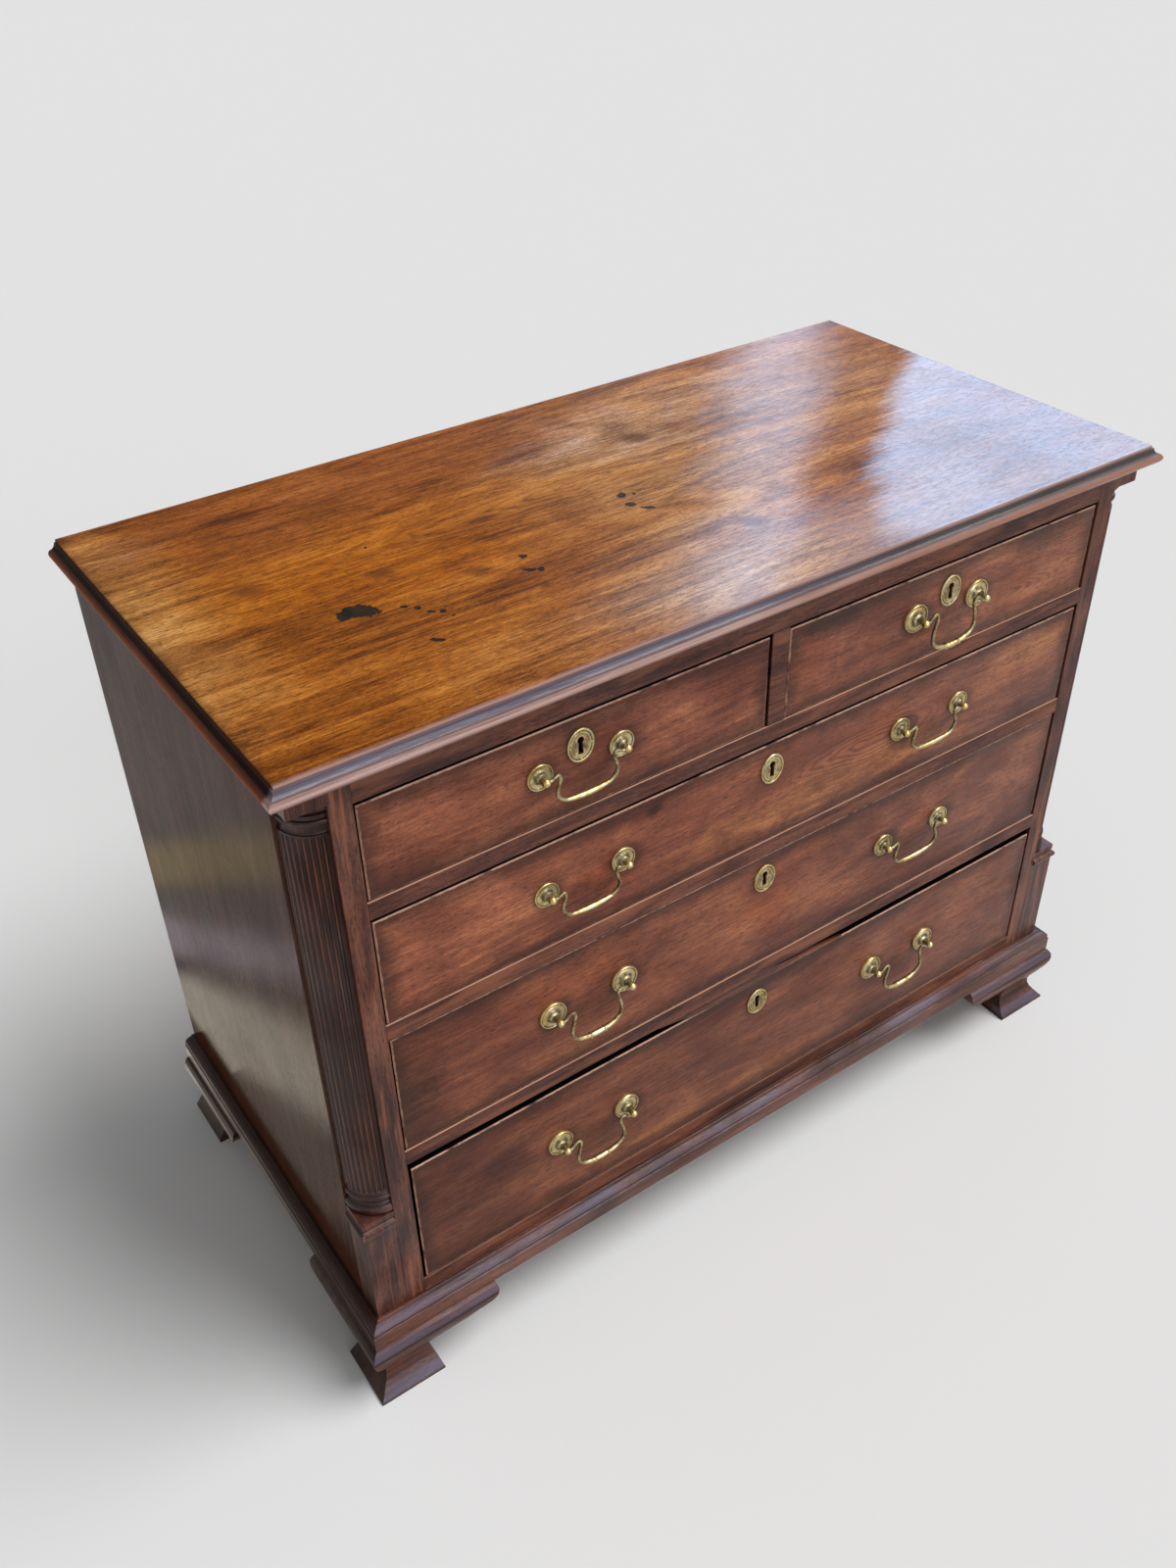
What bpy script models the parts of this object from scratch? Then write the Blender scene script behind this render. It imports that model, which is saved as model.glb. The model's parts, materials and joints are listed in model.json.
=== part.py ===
"""Antique mahogany chest of drawers: two short drawers over three long ones, fluted quarter
columns in the front corners, ogee bracket feet and swan-neck brass handles.

Metres, +Z up. The front faces -Y, and the origin lies under the middle of the chest on the floor.
"""

import math

import bmesh
import bpy
from mathutils import Matrix, Vector

# Fits
JOINT_GAP = 0.0003
MITRE_GAP = 0.0002
OVERRUN = 0.004
LAP = 0.002
WELD = 0.000001
SHARP_ANGLE = 35

# Case
CASE_WIDTH = 1.052
CASE_DEPTH = 0.518
SIDE_THICKNESS = 0.020
BACK_THICKNESS = 0.012
BACK_BOARDS = 5
BACK_JOINT = 0.0022
HOUSING_DEPTH = 0.005
COLUMN_RECESS = 0.0367
STILE_WIDTH = 0.0223
POST_DEPTH = 0.055
DIVIDER_WIDTH = 0.0216
GUIDE_HEIGHT = 0.022
DIVIDER_GUIDE_HEIGHT = 0.036
DUST_BOARD_THICKNESS = 0.012
CASE_BOTTOM_THICKNESS = 0.015

# Heights, from the floor up
FOOT_HEIGHT = 0.0955
BASE_MOULDING_HEIGHT = 0.0335
BOTTOM_RAIL_HEIGHT = 0.019
RAIL_HEIGHT = 0.0205
TOP_RAIL_HEIGHT = 0.0292
TOP_THICKNESS = 0.022
LOWER_FRONT_HEIGHT = 0.183
MIDDLE_FRONT_HEIGHT = 0.159
UPPER_FRONT_HEIGHT = 0.1272
SHORT_FRONT_HEIGHT = 0.1046
FRONT_SEAT = 0.0005
LOWER_TOP_GAP = 0.0122
MIDDLE_TOP_GAP = 0.0015
UPPER_TOP_GAP = 0.005
SHORT_TOP_GAP = 0.0045

# Top board: its edge moulding as (outward, upward) shares of overhang and thickness
TOP_OVERHANG = 0.0175
TOP_EDGE_SHARES = (
    (0.34, 0.00), (0.54, 0.03), (0.73, 0.06), (0.89, 0.15), (0.97, 0.25), (1.00, 0.36),
    (0.96, 0.47), (0.86, 0.55), (0.72, 0.58), (0.61, 0.65), (0.54, 0.75), (0.51, 0.86),
    (0.42, 0.87), (0.41, 0.98), (0.39, 1.00),
)

# Base moulding: (outward, upward) shares of its projection and height
BASE_PROJECTION = 0.0155
BASE_EDGE_SHARES = (
    (0.00, 0.00), (0.96, 0.00), (1.00, 0.05), (1.00, 0.62), (0.95, 0.65), (0.90, 0.66),
    (0.93, 0.71), (0.91, 0.78), (0.82, 0.85), (0.66, 0.91), (0.46, 0.94), (0.30, 0.95),
    (0.30, 0.99), (0.26, 1.00), (0.00, 1.00),
)

# Ogee feet: the face as (outward, upward) shares of its projection and of the foot's height
FOOT_PROJECTION = 0.0225
FOOT_THICKNESS = 0.018
FOOT_REACH = 0.1395
REAR_FOOT_SHIFT = 0.019
FOOT_BLOCK = 0.026
FOOT_BLOCK_LIFT = 0.003
BACK_BRACKET_REACH = 0.110
FOOT_FACE_SHARES = (
    (0.93, 0.00), (0.93, 0.035), (0.80, 0.07), (0.56, 0.14), (0.34, 0.21), (0.20, 0.29),
    (0.18, 0.365), (0.27, 0.43), (0.45, 0.50), (0.65, 0.59), (0.83, 0.67), (0.96, 0.76),
    (1.00, 0.835), (0.96, 0.91), (0.84, 0.965), (0.64, 0.99), (0.58, 1.00),
)
# The bracket's lower outline as (along, upward) shares of its reach and of the foot's height
BRACKET_SHARES = (
    (0.437, 0.00), (0.416, 0.136), (0.373, 0.314), (0.344, 0.44), (0.348, 0.524), (0.38, 0.58),
    (0.45, 0.618), (0.573, 0.634), (0.695, 0.654), (0.774, 0.70), (0.846, 0.717), (0.918, 0.738),
    (0.975, 0.80), (1.00, 0.895), (0.99, 1.00),
)
BACK_BRACKET_SHARES = ((0.50, 0.00), (0.50, 0.12), (0.62, 0.50), (0.92, 0.66), (1.00, 0.80), (1.00, 1.00))

# Quarter columns: turned sections as (radius, height) shares of the recess and of their height
CAP_BLOCK_HEIGHT = 0.0205
PLINTH_TOP = 0.157
PLINTH_BEAD_PROJECTION = 0.0034
CAPITAL_HEIGHT = 0.0322
COLUMN_BASE_HEIGHT = 0.0302
COLUMN_STEPS = 9
FLUTES = 9
FLUTE_RADIUS = 0.0021
FLUTE_DEPTH = 0.0014
FLUTE_SIDES = 6
SHAFT_SHARE = 0.885
COLUMN_BASE_SHARES = (
    (0.93, 0.00), (0.98, 0.08), (0.988, 0.18), (0.975, 0.28), (0.92, 0.36), (0.90, 0.42),
    (0.855, 0.46), (0.845, 0.53), (0.865, 0.59), (0.91, 0.61), (0.91, 0.66), (0.95, 0.72),
    (0.955, 0.80), (0.91, 0.87), (0.885, 1.00),
)
CAPITAL_SHARES = (
    (0.885, 0.00), (0.85, 0.04), (0.85, 0.34), (0.90, 0.37), (0.915, 0.43), (0.90, 0.49),
    (0.82, 0.52), (0.87, 0.55), (0.87, 0.72), (0.895, 0.79), (0.94, 0.87), (0.985, 0.91),
    (0.985, 1.00),
)
# The plinth's edge as (outward share of the bead's projection, share of the plinth's top height)
PLINTH_EDGE_SHARES = (
    (0.00, 0.875), (0.80, 0.882), (1.00, 0.900), (0.80, 0.918), (0.00, 0.924), (-0.40, 0.930),
    (-0.40, 0.944), (-0.10, 0.950), (-0.10, 1.000),
)

# Drawers
FRONT_THICKNESS = 0.022
FRONT_RECESS = 0.0012
FRONT_ARRIS = 0.0011
SIDE_GAP = 0.0025
LOWER_SIDE_GAP = 0.003
LOWER_SHIFT = 0.0015
DRAWER_BACK_CLEARANCE = 0.010
DRAWER_SIDE_THICKNESS = 0.011
DRAWER_SIDE_INSET = 0.0005
DRAWER_SIDE_DROP = 0.003
DRAWER_BACK_THICKNESS = 0.010
DRAWER_BACK_DROP = 0.006
BOTTOM_THICKNESS = 0.006
BOTTOM_RISE = 0.009
GROOVE_DEPTH = 0.005
TAIL_PITCH = 0.038
TAIL_LENGTH = 0.014
TAIL_FLARE = 0.0022
TAIL_WIDTH_SHARE = 0.58

# Handles: posts turned as (radius, outward) shares of the rose's radius and of the eye's height
HANDLE_CENTRES = 0.091
HANDLE_OFFSET = 0.238
SHORT_RIGHT_SHIFT = -0.004
UPPER_RIGHT_OFFSET = 0.2335
MIDDLE_RIGHT_OFFSET = 0.2305
LOWER_RIGHT_OFFSET = 0.2355
HANDLE_RISE_SHARE = 0.035
POST_STEPS = 10
POST_SEAT = 0.003
BALL_RADIUS = 0.0042
EYE_RADIUS = 0.0021
EYE_SIDES = 9
PLAIN_ROSE_RADIUS = 0.014
PLAIN_EYE_HEIGHT = 0.0115
RINGED_ROSE_RADIUS = 0.0163
RINGED_EYE_HEIGHT = 0.0160
BALL_RINGS = 3
ROSE_SHARES = ((1.00, 0.08), (0.93, 0.18), (0.74, 0.08), (0.48, 0.12), (0.36, 0.27), (0.20, 0.50))

# Bails: half of the centre line as shares of half the centres and of the drop, and its thickness
PLAIN_DROP = 0.0308
RINGED_DROP = 0.0408
BAIL_RADIUS = 0.0016
BAIL_RESOLUTION = 1
PIN_END_SHARE = 1.045
PLAIN_BAIL_SHARES = (
    (0.00, -1.00, 1.72), (0.16, -0.995, 1.62), (0.32, -0.98, 1.42), (0.47, -0.945, 1.26),
    (0.60, -0.88, 1.18), (0.70, -0.77, 1.18), (0.745, -0.62, 1.16), (0.735, -0.44, 1.12),
    (0.695, -0.25, 1.06), (0.665, -0.07, 1.0), (0.68, 0.06, 1.0), (0.725, 0.10, 1.0),
    (0.785, 0.06, 1.0), (0.835, 0.01, 1.0), (0.875, 0.00, 1.0),
)
RINGED_BAIL_SHARES = (
    (0.00, -1.00, 2.05), (0.165, -0.99, 1.85), (0.185, -0.988, 2.35), (0.22, -0.985, 2.35),
    (0.24, -0.98, 1.70), (0.42, -0.93, 1.60), (0.57, -0.84, 1.32), (0.665, -0.71, 1.22),
    (0.695, -0.55, 1.20), (0.675, -0.34, 1.16), (0.625, -0.14, 1.12), (0.60, 0.00, 1.08),
    (0.62, 0.10, 1.06), (0.68, 0.145, 1.06), (0.755, 0.115, 1.06), (0.82, 0.045, 1.06),
    (0.875, 0.00, 1.0),
)

# Escutcheons
ESCUTCHEON_WIDTH = 0.030
ESCUTCHEON_HEIGHT = 0.038
ESCUTCHEON_THICKNESS = 0.0018
ESCUTCHEON_DROP = 0.032
ESCUTCHEON_SEGMENTS = 14
# Rings of the plate as (size, thickness) shares, from its back over the rim to the flat
ESCUTCHEON_SHARES = ((1.00, 0.00), (1.00, 0.65), (0.96, 1.00), (0.88, 0.95), (0.84, 0.60))
KEYHOLE_RADIUS = 0.0034
KEYHOLE_RISE = 0.0055
KEYHOLE_FOOT = 0.0095
KEYHOLE_WAIST = 0.0017
KEYHOLE_TOE = 0.0026
KEYHOLE_SIDES = 8

HALF_CASE = CASE_WIDTH / 2
SIDE_INNER = HALF_CASE - SIDE_THICKNESS
RECESS_INNER = HALF_CASE - COLUMN_RECESS
HALF_OPENING = RECESS_INNER - STILE_WIDTH
BACK_FACE = CASE_DEPTH - BACK_THICKNESS
FRONT_PLANE = (FOOT_PROJECTION - CASE_DEPTH) / 2
CARCASS_FOOT = FOOT_HEIGHT + JOINT_GAP
BASE_TOP = FOOT_HEIGHT + BASE_MOULDING_HEIGHT
LOWER_FLOOR = BASE_TOP + BOTTOM_RAIL_HEIGHT
LOWER_CEILING = LOWER_FLOOR + FRONT_SEAT + LOWER_FRONT_HEIGHT + LOWER_TOP_GAP
MIDDLE_FLOOR = LOWER_CEILING + RAIL_HEIGHT
MIDDLE_CEILING = MIDDLE_FLOOR + FRONT_SEAT + MIDDLE_FRONT_HEIGHT + MIDDLE_TOP_GAP
UPPER_FLOOR = MIDDLE_CEILING + RAIL_HEIGHT
UPPER_CEILING = UPPER_FLOOR + FRONT_SEAT + UPPER_FRONT_HEIGHT + UPPER_TOP_GAP
SHORT_FLOOR = UPPER_CEILING + RAIL_HEIGHT
SHORT_CEILING = SHORT_FLOOR + FRONT_SEAT + SHORT_FRONT_HEIGHT + SHORT_TOP_GAP
CARCASS_TOP = SHORT_CEILING + TOP_RAIL_HEIGHT
TOP_UNDERSIDE = CARCASS_TOP + JOINT_GAP
DRAWER_LENGTH = BACK_FACE - FRONT_RECESS - DRAWER_BACK_CLEARANCE
SHORT_WIDTH = HALF_OPENING - DIVIDER_WIDTH / 2 - 2 * SIDE_GAP
SHORT_CENTRE = (HALF_OPENING + DIVIDER_WIDTH / 2) / 2


def clear_scene():
    for obj in list(bpy.data.objects):
        bpy.data.objects.remove(obj, do_unlink=True)


def make_material(name, colour, roughness, metallic=0.0):
    made = bpy.data.materials.new(name)
    made.use_nodes = True
    shader = made.node_tree.nodes["Principled BSDF"]
    shader.inputs["Base Color"].default_value = (*colour, 1.0)
    shader.inputs["Roughness"].default_value = roughness
    shader.inputs["Metallic"].default_value = metallic
    made.diffuse_color = (*colour, 1.0)
    return made


def make_empty(name, parent, location):
    empty = bpy.data.objects.new(name, None)
    empty.parent = parent
    empty.location = location
    bpy.context.scene.collection.objects.link(empty)
    return empty


def make_piece(name, shape, finish, parent, location=(0, 0, 0), smooth=False):
    """A named object from a bmesh, with its faces turned outward."""
    bmesh.ops.recalc_face_normals(shape, faces=shape.faces)
    mesh = bpy.data.meshes.new(name)
    shape.to_mesh(mesh)
    shape.free()
    mesh.materials.append(finish)
    if smooth:
        mesh.shade_smooth()
        mesh.set_sharp_from_angle(angle=math.radians(SHARP_ANGLE))
    piece = bpy.data.objects.new(name, mesh)
    piece.parent = parent
    piece.location = location
    bpy.context.scene.collection.objects.link(piece)
    return piece


def combine(piece, operation, shape, label, finish=None):
    """Adds or cuts a shape with a Boolean that stays on the piece."""
    tool = make_piece(f"{piece.name}_{label}", shape, finish or piece.data.materials[0],
                      piece.parent, piece.location)
    tool.hide_render = True
    tool.display_type = "WIRE"
    step = piece.modifiers.new(label, "BOOLEAN")
    step.operation = operation
    step.solver = "EXACT"
    step.material_mode = "TRANSFER"
    step.object = tool


def along_x(u, v, w):
    return (w, u, v)


def along_y(u, v, w):
    return (u, w, v)


def along_z(u, v, w):
    return (u, v, w)


def add_box(shape, low, high):
    middle = [(a + b) / 2 for a, b in zip(low, high)]
    size = [abs(b - a) for a, b in zip(low, high)]
    matrix = Matrix.Translation(middle) @ Matrix.Diagonal((*size, 1))
    return bmesh.ops.create_cube(shape, size=1, matrix=matrix)["verts"]


def add_prism(shape, outline, place, start, end):
    """Pushes an outline of (u, v) points along one axis from start to end."""
    face = shape.faces.new([shape.verts.new(place(u, v, start)) for u, v in outline])
    grown = bmesh.ops.extrude_face_region(shape, geom=[face])["geom"]
    moved = [item for item in grown if isinstance(item, bmesh.types.BMVert)]
    bmesh.ops.translate(shape, verts=moved, vec=Vector(place(0, 0, end)) - Vector(place(0, 0, start)))


def add_loft(shape, rings):
    """Joins rings of points, one after another, and closes both ends."""
    loops = [[shape.verts.new(point) for point in ring] for ring in rings]
    for low, high in zip(loops, loops[1:]):
        for here in range(len(low)):
            after = (here + 1) % len(low)
            shape.faces.new((low[here], low[after], high[after], high[here]))
    shape.faces.new(loops[0])
    shape.faces.new(loops[-1])


def add_turning(shape, profile, centre, axis, start, steps, angle=math.tau):
    """Turns (radius, height) points round an axis. The first and last lie on the axis."""
    centre, axis, start = Vector(centre), Vector(axis), Vector(start)
    verts = [shape.verts.new(centre + start * r + axis * h) for r, h in profile]
    if angle == math.tau:
        geom = verts + [shape.edges.new(pair) for pair in zip(verts, verts[1:])]
    else:
        face = shape.faces.new(verts)
        geom = [face, *face.edges, *face.verts]
    bmesh.ops.spin(shape, geom=geom, cent=centre, axis=axis, dvec=(0, 0, 0), angle=angle,
                   steps=steps, use_merge=angle == math.tau)
    bmesh.ops.remove_doubles(shape, verts=shape.verts, dist=WELD)


def scaled(shares, width, height, base=0):
    return [(u * width, base + v * height) for u, v in shares]


# Carcass


def make_top(chest, finish):
    """A solid board with its moulding worked on the front and both ends."""
    shape = bmesh.new()
    rings = []
    for out, up in scaled(TOP_EDGE_SHARES, TOP_OVERHANG, TOP_THICKNESS, TOP_UNDERSIDE):
        edge = HALF_CASE + out
        rings.append([(-edge, CASE_DEPTH, up), (-edge, -out, up), (edge, -out, up), (edge, CASE_DEPTH, up)])
    add_loft(shape, rings)
    make_piece("top_board", shape, finish, chest)


def housing_levels():
    """Top face and thickness of each board that the case sides hold."""
    levels = [(LOWER_FLOOR, CASE_BOTTOM_THICKNESS)]
    levels += [(floor, DUST_BOARD_THICKNESS) for floor in (MIDDLE_FLOOR, UPPER_FLOOR, SHORT_FLOOR)]
    return levels


def make_side(chest, side, name, finish):
    """An upright board with a housing for each board that it carries."""
    depth = SIDE_INNER + HOUSING_DEPTH
    outline = [(HALF_CASE, CARCASS_TOP), (HALF_CASE, CARCASS_FOOT), (SIDE_INNER, CARCASS_FOOT)]
    for top, thickness in housing_levels():
        low = top - thickness - JOINT_GAP
        high = top + JOINT_GAP
        outline += [(SIDE_INNER, low), (depth, low), (depth, high), (SIDE_INNER, high)]
    outline.append((SIDE_INNER, CARCASS_TOP))
    shape = bmesh.new()
    add_prism(shape, [(side * x, z) for x, z in outline], along_y, COLUMN_RECESS + JOINT_GAP, CASE_DEPTH)
    make_piece(name, shape, finish, chest)


def make_back(chest, finish):
    """Upright boards side by side, with a V joint on the outside between them."""
    edge = SIDE_INNER - JOINT_GAP
    outline = [(-edge, BACK_FACE), (edge, BACK_FACE), (edge, CASE_DEPTH)]
    for board in reversed(range(1, BACK_BOARDS)):
        joint = edge * (2 * board / BACK_BOARDS - 1)
        outline += [(joint + BACK_JOINT, CASE_DEPTH), (joint, CASE_DEPTH - BACK_JOINT),
                    (joint - BACK_JOINT, CASE_DEPTH)]
    outline.append((-edge, CASE_DEPTH))
    shape = bmesh.new()
    add_prism(shape, outline, along_z, BASE_TOP, CARCASS_TOP)
    make_piece("back_boards", shape, finish, chest)


def make_rail(chest, name, top, rail_height, thickness, finish):
    """A rail between the posts, with its dust board and a drawer guide at each end."""
    tongue = SIDE_INNER + HOUSING_DEPTH - JOINT_GAP
    outer = SIDE_INNER - JOINT_GAP
    low = top - thickness
    crest = top + GUIDE_HEIGHT
    half = [(tongue, low), (tongue, top), (outer, top), (outer, crest), (HALF_OPENING, crest),
            (HALF_OPENING, top)]
    outline = half + [(-x, z) for x, z in reversed(half)]
    shape = bmesh.new()
    add_prism(shape, outline, along_y, POST_DEPTH + JOINT_GAP, BACK_FACE - JOINT_GAP)
    piece = make_piece(name, shape, finish, chest)
    rail = bmesh.new()
    edge = HALF_OPENING - JOINT_GAP
    add_box(rail, (-edge, 0, top - rail_height), (edge, POST_DEPTH + OVERRUN, top))
    combine(piece, "UNION", rail, "rail")


def make_top_rail(chest, finish):
    """The rail under the top, with the upright divider and the guide behind it."""
    edge = HALF_OPENING - JOINT_GAP
    half = DIVIDER_WIDTH / 2
    foot = SHORT_FLOOR + JOINT_GAP
    outline = [(-edge, SHORT_CEILING), (-half, SHORT_CEILING), (-half, foot), (half, foot),
               (half, SHORT_CEILING), (edge, SHORT_CEILING), (edge, CARCASS_TOP), (-edge, CARCASS_TOP)]
    shape = bmesh.new()
    add_prism(shape, outline, along_y, 0, POST_DEPTH)
    piece = make_piece("top_rail_with_divider", shape, finish, chest)
    guide = bmesh.new()
    crest = foot + DIVIDER_GUIDE_HEIGHT
    add_box(guide, (-half + JOINT_GAP, POST_DEPTH - LAP, foot), (half - JOINT_GAP, BACK_FACE - JOINT_GAP, crest))
    combine(piece, "UNION", guide, "guide")


def make_post(chest, side, name, finish):
    """A corner post: the flat stile, the wall behind the column and the block above it."""
    wall = COLUMN_RECESS + JOINT_GAP
    outer = SIDE_INNER - JOINT_GAP
    outline = [(HALF_OPENING, 0), (RECESS_INNER, 0), (RECESS_INNER, wall), (outer, wall),
               (outer, POST_DEPTH), (HALF_OPENING, POST_DEPTH)]
    shape = bmesh.new()
    add_prism(shape, [(side * x, y) for x, y in outline], along_z, CARCASS_FOOT, CARCASS_TOP)
    piece = make_piece(name, shape, finish, chest)
    block = bmesh.new()
    add_box(block, (side * (RECESS_INNER - LAP), 0, CARCASS_TOP - CAP_BLOCK_HEIGHT),
            (side * HALF_CASE, COLUMN_RECESS, CARCASS_TOP))
    combine(piece, "UNION", block, "cap_block")


def make_plinth(chest, side, name, finish):
    """A square block with a bead and a slab on top, which the column stands on."""
    inner = RECESS_INNER + JOINT_GAP
    levels = [(0, CARCASS_FOOT)]
    levels += scaled(PLINTH_EDGE_SHARES, PLINTH_BEAD_PROJECTION, PLINTH_TOP, BASE_TOP)
    rings = []
    for out, z in levels:
        edge = HALF_CASE + out
        rings.append([(side * inner, -out, z), (side * edge, -out, z), (side * edge, COLUMN_RECESS, z),
                      (side * inner, COLUMN_RECESS, z)])
    shape = bmesh.new()
    add_loft(shape, rings)
    make_piece(name, shape, finish, chest)


def make_column(chest, side, name, finish):
    """A quarter of a turned column with its base and capital, and the flutes cut in its shaft."""
    foot = BASE_TOP + PLINTH_TOP + JOINT_GAP
    head = CARCASS_TOP - CAP_BLOCK_HEIGHT - JOINT_GAP
    shaft_foot = foot + COLUMN_BASE_HEIGHT
    shaft_head = head - CAPITAL_HEIGHT
    centre = (side * (RECESS_INNER + JOINT_GAP), COLUMN_RECESS, 0)
    profile = [(0, foot)]
    profile += scaled(COLUMN_BASE_SHARES, COLUMN_RECESS, COLUMN_BASE_HEIGHT, foot)
    profile += scaled(CAPITAL_SHARES, COLUMN_RECESS, CAPITAL_HEIGHT, shaft_head)
    profile.append((0, head))
    shape = bmesh.new()
    add_turning(shape, profile, centre, (0, 0, 1), (side, 0, 0), COLUMN_STEPS, -side * math.pi / 2)
    piece = make_piece(name, shape, finish, chest, smooth=True)
    low = shaft_foot + FLUTE_RADIUS
    high = shaft_head - FLUTE_RADIUS
    shoulder = FLUTE_RADIUS * math.sin(math.pi / 4)
    flute = [(0, low - FLUTE_RADIUS), (shoulder, low - shoulder), (FLUTE_RADIUS, low),
             (FLUTE_RADIUS, high), (shoulder, high + shoulder), (0, high + FLUTE_RADIUS)]
    reach = SHAFT_SHARE * COLUMN_RECESS - FLUTE_DEPTH + FLUTE_RADIUS
    flutes = bmesh.new()
    for number in range(FLUTES):
        turn = (number + 0.5) / FLUTES * math.pi / 2
        outward = Vector((side * math.cos(turn), -math.sin(turn), 0))
        add_turning(flutes, flute, Vector(centre) + outward * reach, (0, 0, 1), outward, FLUTE_SIDES)
    combine(piece, "DIFFERENCE", flutes, "flutes")


def base_outline():
    outline = scaled(BASE_EDGE_SHARES, BASE_PROJECTION, BASE_MOULDING_HEIGHT - JOINT_GAP, CARCASS_FOOT)
    return [(max(out, JOINT_GAP), z) for out, z in outline]


def make_front_moulding(chest, finish):
    shape = bmesh.new()
    ends = []
    for side in (-1, 1):
        ends.append([(side * (HALF_CASE + out - MITRE_GAP), -out, z) for out, z in base_outline()])
    add_loft(shape, ends)
    make_piece("base_moulding_front", shape, finish, chest)


def make_side_moulding(chest, side, name, finish):
    shape = bmesh.new()
    front = [(side * (HALF_CASE + out), MITRE_GAP - out, z) for out, z in base_outline()]
    back = [(side * (HALF_CASE + out), CASE_DEPTH, z) for out, z in base_outline()]
    add_loft(shape, [front, back])
    make_piece(name, shape, finish, chest)


def foot_section():
    """The foot's cross-section: its ogee face, and its flat back."""
    section = scaled(FOOT_FACE_SHARES, FOOT_PROJECTION, FOOT_HEIGHT)
    return section + [(-FOOT_THICKNESS, FOOT_HEIGHT), (-FOOT_THICKNESS, 0)]


def bracket_cutter(shares, reach, shift=0):
    """What is cut away under a bracket, as (along, upward) points from its toe."""
    edge = [(shift + along, up) for along, up in scaled(shares, reach, FOOT_HEIGHT)]
    toe = edge[0][0]
    crest = edge[-1][0]
    beyond = shift + reach + 2 * FOOT_THICKNESS
    return [(toe, -OVERRUN), *edge, (crest, FOOT_HEIGHT + OVERRUN), (beyond, FOOT_HEIGHT + OVERRUN),
            (beyond, -OVERRUN)]


def make_front_foot(chest, side, name, finish):
    """Two ogee brackets mitred at the corner, with a block glued behind them."""
    wing = FOOT_REACH + FOOT_THICKNESS
    section = foot_section()
    shape = bmesh.new()
    add_loft(shape, [
        [(side * (HALF_CASE + out), wing, z) for out, z in section],
        [(side * (HALF_CASE + out), -out, z) for out, z in section],
        [(side * (HALF_CASE - wing), -out, z) for out, z in section],
    ])
    piece = make_piece(name, shape, finish, chest)
    edge = bracket_cutter(BRACKET_SHARES, FOOT_REACH)
    cutter = bmesh.new()
    add_prism(cutter, [(side * (HALF_CASE - along), up) for along, up in edge], along_y,
              -FOOT_PROJECTION - OVERRUN, FOOT_THICKNESS + OVERRUN)
    add_prism(cutter, edge, along_x, side * (HALF_CASE - FOOT_THICKNESS - OVERRUN),
              side * (HALF_CASE + FOOT_PROJECTION + OVERRUN))
    combine(piece, "DIFFERENCE", cutter, "outline")
    block = bmesh.new()
    start = FOOT_THICKNESS - LAP
    end = FOOT_THICKNESS + FOOT_BLOCK
    add_box(block, (side * (HALF_CASE - start), start, FOOT_BLOCK_LIFT),
            (side * (HALF_CASE - end), end, FOOT_HEIGHT))
    combine(piece, "UNION", block, "block")


def make_rear_foot(chest, side, name, finish):
    """An ogee bracket on the side, with a plain bracket across the back and a corner block."""
    wing = FOOT_REACH + REAR_FOOT_SHIFT + FOOT_THICKNESS
    section = foot_section()
    shape = bmesh.new()
    add_loft(shape, [
        [(side * (HALF_CASE + out), CASE_DEPTH, z) for out, z in section],
        [(side * (HALF_CASE + out), CASE_DEPTH - wing, z) for out, z in section],
    ])
    piece = make_piece(name, shape, finish, chest)
    cutter = bmesh.new()
    edge = bracket_cutter(BRACKET_SHARES, FOOT_REACH, REAR_FOOT_SHIFT)
    add_prism(cutter, [(CASE_DEPTH - along, up) for along, up in edge], along_x,
              side * (HALF_CASE - FOOT_THICKNESS - OVERRUN), side * (HALF_CASE + FOOT_PROJECTION + OVERRUN))
    combine(piece, "DIFFERENCE", cutter, "outline")
    back = bmesh.new()
    start = FOOT_THICKNESS - LAP
    corner = [(start, 0), *scaled(BACK_BRACKET_SHARES, BACK_BRACKET_REACH, FOOT_HEIGHT), (start, FOOT_HEIGHT)]
    add_prism(back, [(side * (HALF_CASE - along), up) for along, up in corner], along_y,
              CASE_DEPTH - FOOT_THICKNESS, CASE_DEPTH)
    combine(piece, "UNION", back, "back_bracket")
    block = bmesh.new()
    end = FOOT_THICKNESS + FOOT_BLOCK
    add_box(block, (side * (HALF_CASE - start), CASE_DEPTH - end, FOOT_BLOCK_LIFT),
            (side * (HALF_CASE - end), CASE_DEPTH - start, FOOT_HEIGHT))
    combine(piece, "UNION", block, "block")


# Drawers


def tail_rows(low, high):
    """Centre, half width at the root and half width at the tip of each tail between two heights."""
    count = max(2, round((high - low) / TAIL_PITCH))
    pitch = (high - low) / count
    root = pitch * TAIL_WIDTH_SHARE / 2
    return [(low + (number + 0.5) * pitch, root, root + TAIL_FLARE) for number in range(count)]


def tail_edge(rows, root_y, tip_y):
    points = []
    for middle, root, tip in rows:
        points += [(root_y, middle - root), (tip_y, middle - tip), (tip_y, middle + tip), (root_y, middle + root)]
    return points


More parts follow.
